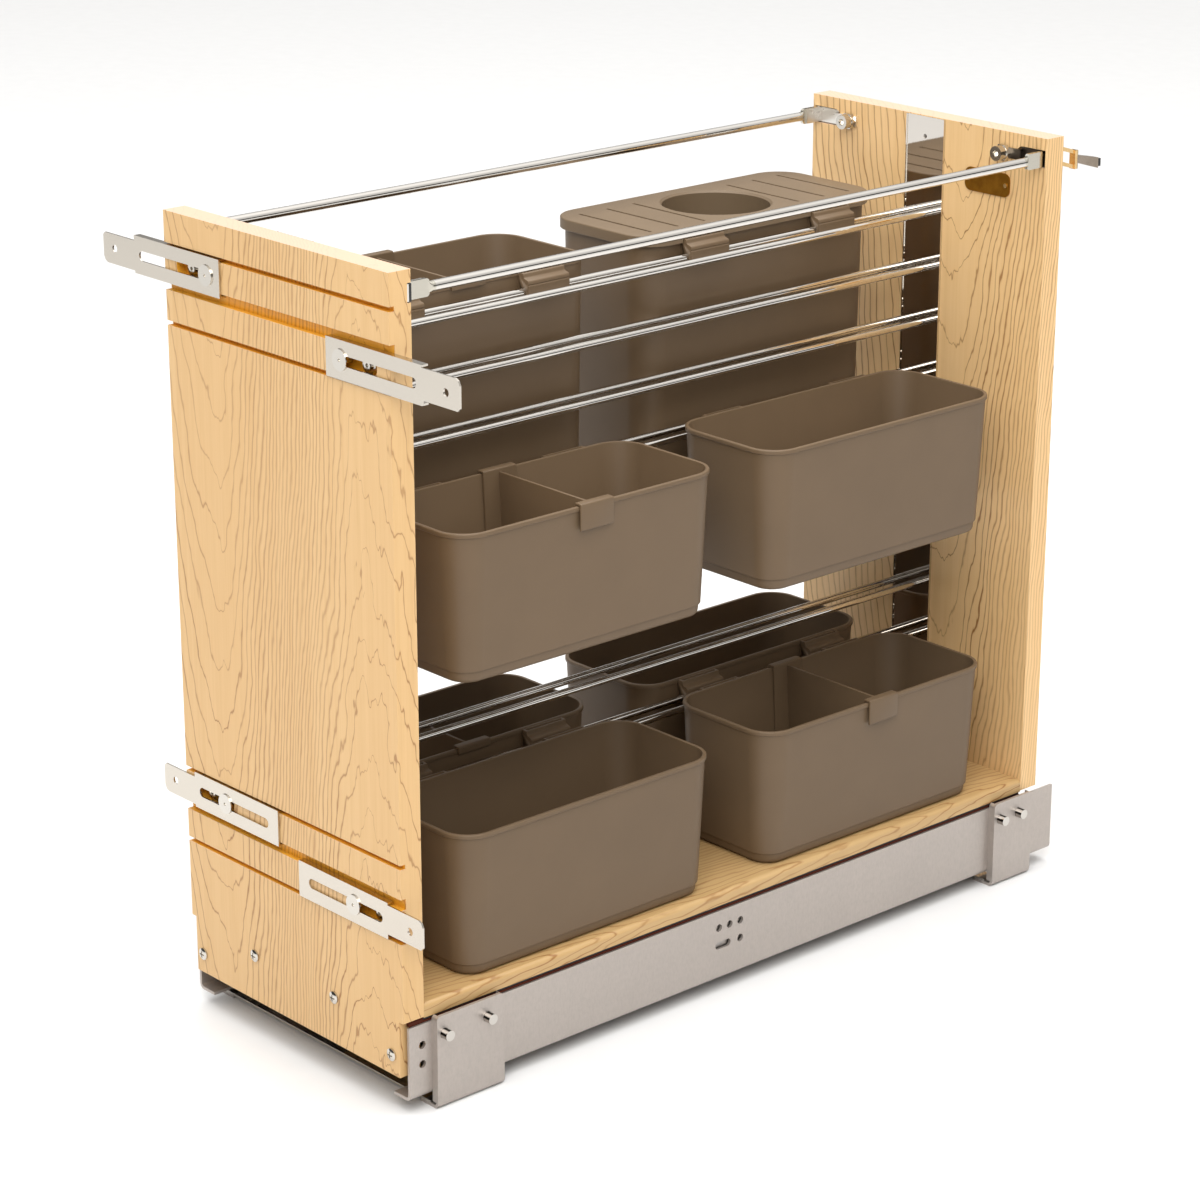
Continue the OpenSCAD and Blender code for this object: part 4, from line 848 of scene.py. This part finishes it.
def make_lid():
    """Lid with a skirt over the rim, rounded edges, an eased hole with a collar and six grooves."""
    top_z, edge_r = LID_GAP + LID_EDGE_H, 1.1
    half_w, half_l, radius = BIN_W / 2 + LID_OVER, BIN_L / 2 + LID_OVER, BIN_R + LID_OVER
    inset = radius - (BIN_R - RIM_OUT - WALL - 0.5)
    plug_low_z, plug_wall = -5.0, 1.5
    lean = -plug_low_z * LEAN[TALL_H]

    def lofted(profile, shrink):
        bm = bmesh.new()
        loft(bm, profile, half_w - shrink, half_l - shrink, radius - shrink)
        return temp_object(bm)

    # the plate with a round upper edge and its skirt, hollow below
    profile = [(0.25, -LID_SKIRT_H), (0.0, 0.25 - LID_SKIRT_H), (0.0, top_z - edge_r)]
    profile += [(edge_r * (1 - math.cos(math.radians(a))),
                 top_z - edge_r + edge_r * math.sin(math.radians(a))) for a in (22, 45, 68, 90)]
    lid = lofted(profile, 0)
    lid = cut_with(lid, lofted([(0.0, -LID_SKIRT_H - 1), (0.0, LID_GAP)], LID_SKIRT_T))
    # the ring that reaches into the bin, hollow inside
    lid = cut_with(lid, lofted([(lean, plug_low_z), (0.0, LID_GAP + 0.5)], inset), "UNION")
    lid = cut_with(lid, lofted([(0.0, plug_low_z - 1), (-lean - 0.05, top_z - LID_T)],
                               inset + plug_wall + lean))
    # the collar and the hole, eased at its edge
    middle_z = top_z - COLLAR_H / 2 - 0.5
    lid = cut_with(lid, drum(HOLE_R + COLLAR_T, middle_z, COLLAR_H - 1), "UNION")
    lid = cut_with(lid, drum(HOLE_R, middle_z, COLLAR_H + 12))
    lid = cut_with(lid, drum(HOLE_R - 0.4, top_z - 0.4, 2.8, flare=2.8))
    for s in (-1, 1):
        # room for the hooks of the bin, which leave it on the side of the rods
        edge_x, y, half = BIN_W / 2, s * HOOK_PITCH / 2, HOOK_W / 2 + 0.6
        outline = box_outline(edge_x, -LID_SKIRT_H - 1, edge_x + LID_OVER + 1, 0)
        bm = bmesh.new()
        prism(bm, outline, y - half, y + half)
        lid = cut_with(lid, temp_object(bm))
    # three slots before and three behind the hole
    bm = bmesh.new()
    for s in (-1, 1):
        for i in range(3):
            y = s * (HOLE_R + 7 + i * LID_SLOT_PITCH)
            outline = box_outline(-LID_SLOT_HALF_L, y - LID_SLOT_HALF_W,
                                  LID_SLOT_HALF_L, y + LID_SLOT_HALF_W)
            upright(bm, rounded_outline(outline, [0.9] * 4, 4), top_z - LID_SLOT_DEEP, top_z + 1)
    lid = cut_with(lid, temp_object(bm))
    mesh = baked(eased(lid, 0.2, 1, 50))
    bm = bmesh.new()
    bm.from_mesh(mesh)
    mesh = placed_mesh(bm, "bin_lid_moulding", rim_place("tall_bin_rear")[1])
    finish_mesh("bin_lid_moulding", mesh, "lid_plastic_lit", "bin_lid", ("bin_lid",))


# CAD nodes that stay, and trim

def dress(mat, *names):
    for name in names:
        obj = nodes[name]
        if not obj.data.materials:
            obj.data.materials.append(MATS[mat])
        for slot in obj.material_slots:
            slot.material = MATS[mat]


def pairs(*stems):
    return [stem + side for stem in stems for side in ("_left", "_right")]


def dress_all():
    dress("zinc", *pairs("front_bracket", "rear_bracket", "runner_outer", "runner_middle",
                         "runner_inner"), "shelf_bracket_front", "shelf_bracket_rear")
    dress("zinc_dark", *pairs("ball_cage_outer", "ball_cage_inner"))
    dress("mirror", "front_cross_plate", "rear_cross_plate", "front_channel", "back_channel")
    dress("chrome", *("rod_row_%d" % i for i in range(1, 7)))
    dress("rail", *pairs("top_rail"))
    dress("pin", "bracket_pins")
    dress("nickel", *pairs("door_bracket_upper", "door_bracket_lower"))
    dress("strap", "rail_straps")
    dress("catch", *pairs("rear_catch"))
    dress("screw", "rail_bolts", "front_screws", "back_screws", "bracket_screws", "bracket_clamps")
    dress("front_wood", "front_board")
    dress("back_wood_lit", "back_board")
    dress("shelf_wood", "base_shelf")
    dress("brass", "name_plate")
    dress("pin_brass", "name_plate_pins")
    dress("rubber_and_shade", "catch_tips")
    for name, width in (("front_board", 0.0006), ("back_board", 0.0006), ("base_shelf", 0.0005)):
        soften(name, width)


def in_mm(box):
    return [[v / MM for v in corner] for corner in box]


def solid_piece(name, bm, mat, ease):
    """A small piece of the carriage, modelled in millimetres in the CAD frame."""
    mesh = baked(eased(temp_object(bm), ease))
    bm = bmesh.new()
    bm.from_mesh(mesh)
    finish_mesh(name, placed_mesh(bm, name, (0, 0, 0)), mat, "carriage")


def block(name, s, x0, z0, x1, z1, y0, y1, mat):
    """A thin block on side s, from x0 out to x1."""
    bm = bmesh.new()
    prism(bm, [(s * x, z) for x, z in box_outline(x0, z0, x1, z1)], y0, y1)
    solid_piece(name, bm, mat, 0.1)


def make_trim():
    """Painted shade under the shelf's long edges, dark red-brown strips with black lines of painted
    shadow, black painted shade behind the front rail tabs, and a pin in the top of each channel."""
    low, high = in_mm(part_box("base_shelf"))
    strip_z = in_mm(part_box("runner_outer_right"))[1][2] + 0.3
    strap_low, strap_high = in_mm(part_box("rail_straps"))
    in_x, foot_x, foot_l, out_x, seam_z = 101.0, 104.8, 11.0, high[0] - 0.8, low[2] - 1.9
    pin_r, pin_out, pin_down = 1.42, 0.55, 13.6
    for s, side in ((-1, "left"), (1, "right")):
        # painted shade: dark red-brown strips, like maple in deep shadow under the shelf's edge
        block("shelf_edge_strip_" + side, s, in_x, strip_z, out_x, seam_z, low[1], high[1],
              "painted_shade")
        # beside the front board's foot
        block("shelf_edge_cheek_" + side, s, foot_x, strip_z, out_x, low[2] - 0.2,
              low[1] - foot_l, low[1], "painted_shade")
        # painted shadow: a black line in the gap under the shelf's edge
        block("shelf_edge_shadow_line_" + side, s, in_x, seam_z, out_x - 0.5, low[2], low[1], high[1],
              "rubber_and_shade")
        tab_low, tab_high = in_mm(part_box("top_rail_" + side))
        # painted shade: black in the gap behind the front rail tab
        block("rail_pocket_shade_pad_" + side, s, strap_high[0] - 2.4, tab_low[2], strap_high[0] - 0.1,
              tab_high[2], strap_low[1] + 1.3, tab_low[1] - 0.1, "rubber_and_shade")
    for name, end in (("front", 1), ("back", 0)):
        channel = in_mm(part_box(name + "_channel"))
        board_y, inward = channel[1 - end][1], 1 if end else -1
        bm = bmesh.new()
        bmesh.ops.create_uvsphere(bm, u_segments=20, v_segments=10, radius=pin_r)
        bmesh.ops.scale(bm, vec=(1, 0.5, 1), verts=bm.verts)
        place = (0, board_y + inward * pin_out, channel[1][2] - pin_down)
        bmesh.ops.translate(bm, vec=place, verts=bm.verts)
        # the back pin's half at positive X takes the strap's painted shade
        solid_piece("channel_pin_" + name, bm, "strap", 0.02)


make_camera()
make_world()
area_light("key_softbox", (1.45, -1.45, 1.95), (0, 0, 0.25), 1.4, 1.4, 34, (1.0, 0.985, 0.96))
area_light("top_softbox", (0.0, 0.0, 3.4), (0, 0, 0), 3.0, 3.0, 104)
make_floor()

make_bins()
make_lid()
make_trim()
dress_all()

view = bpy.context.scene.view_settings
view.view_transform = "Standard"
view.look = "None"
view.exposure = 0.0
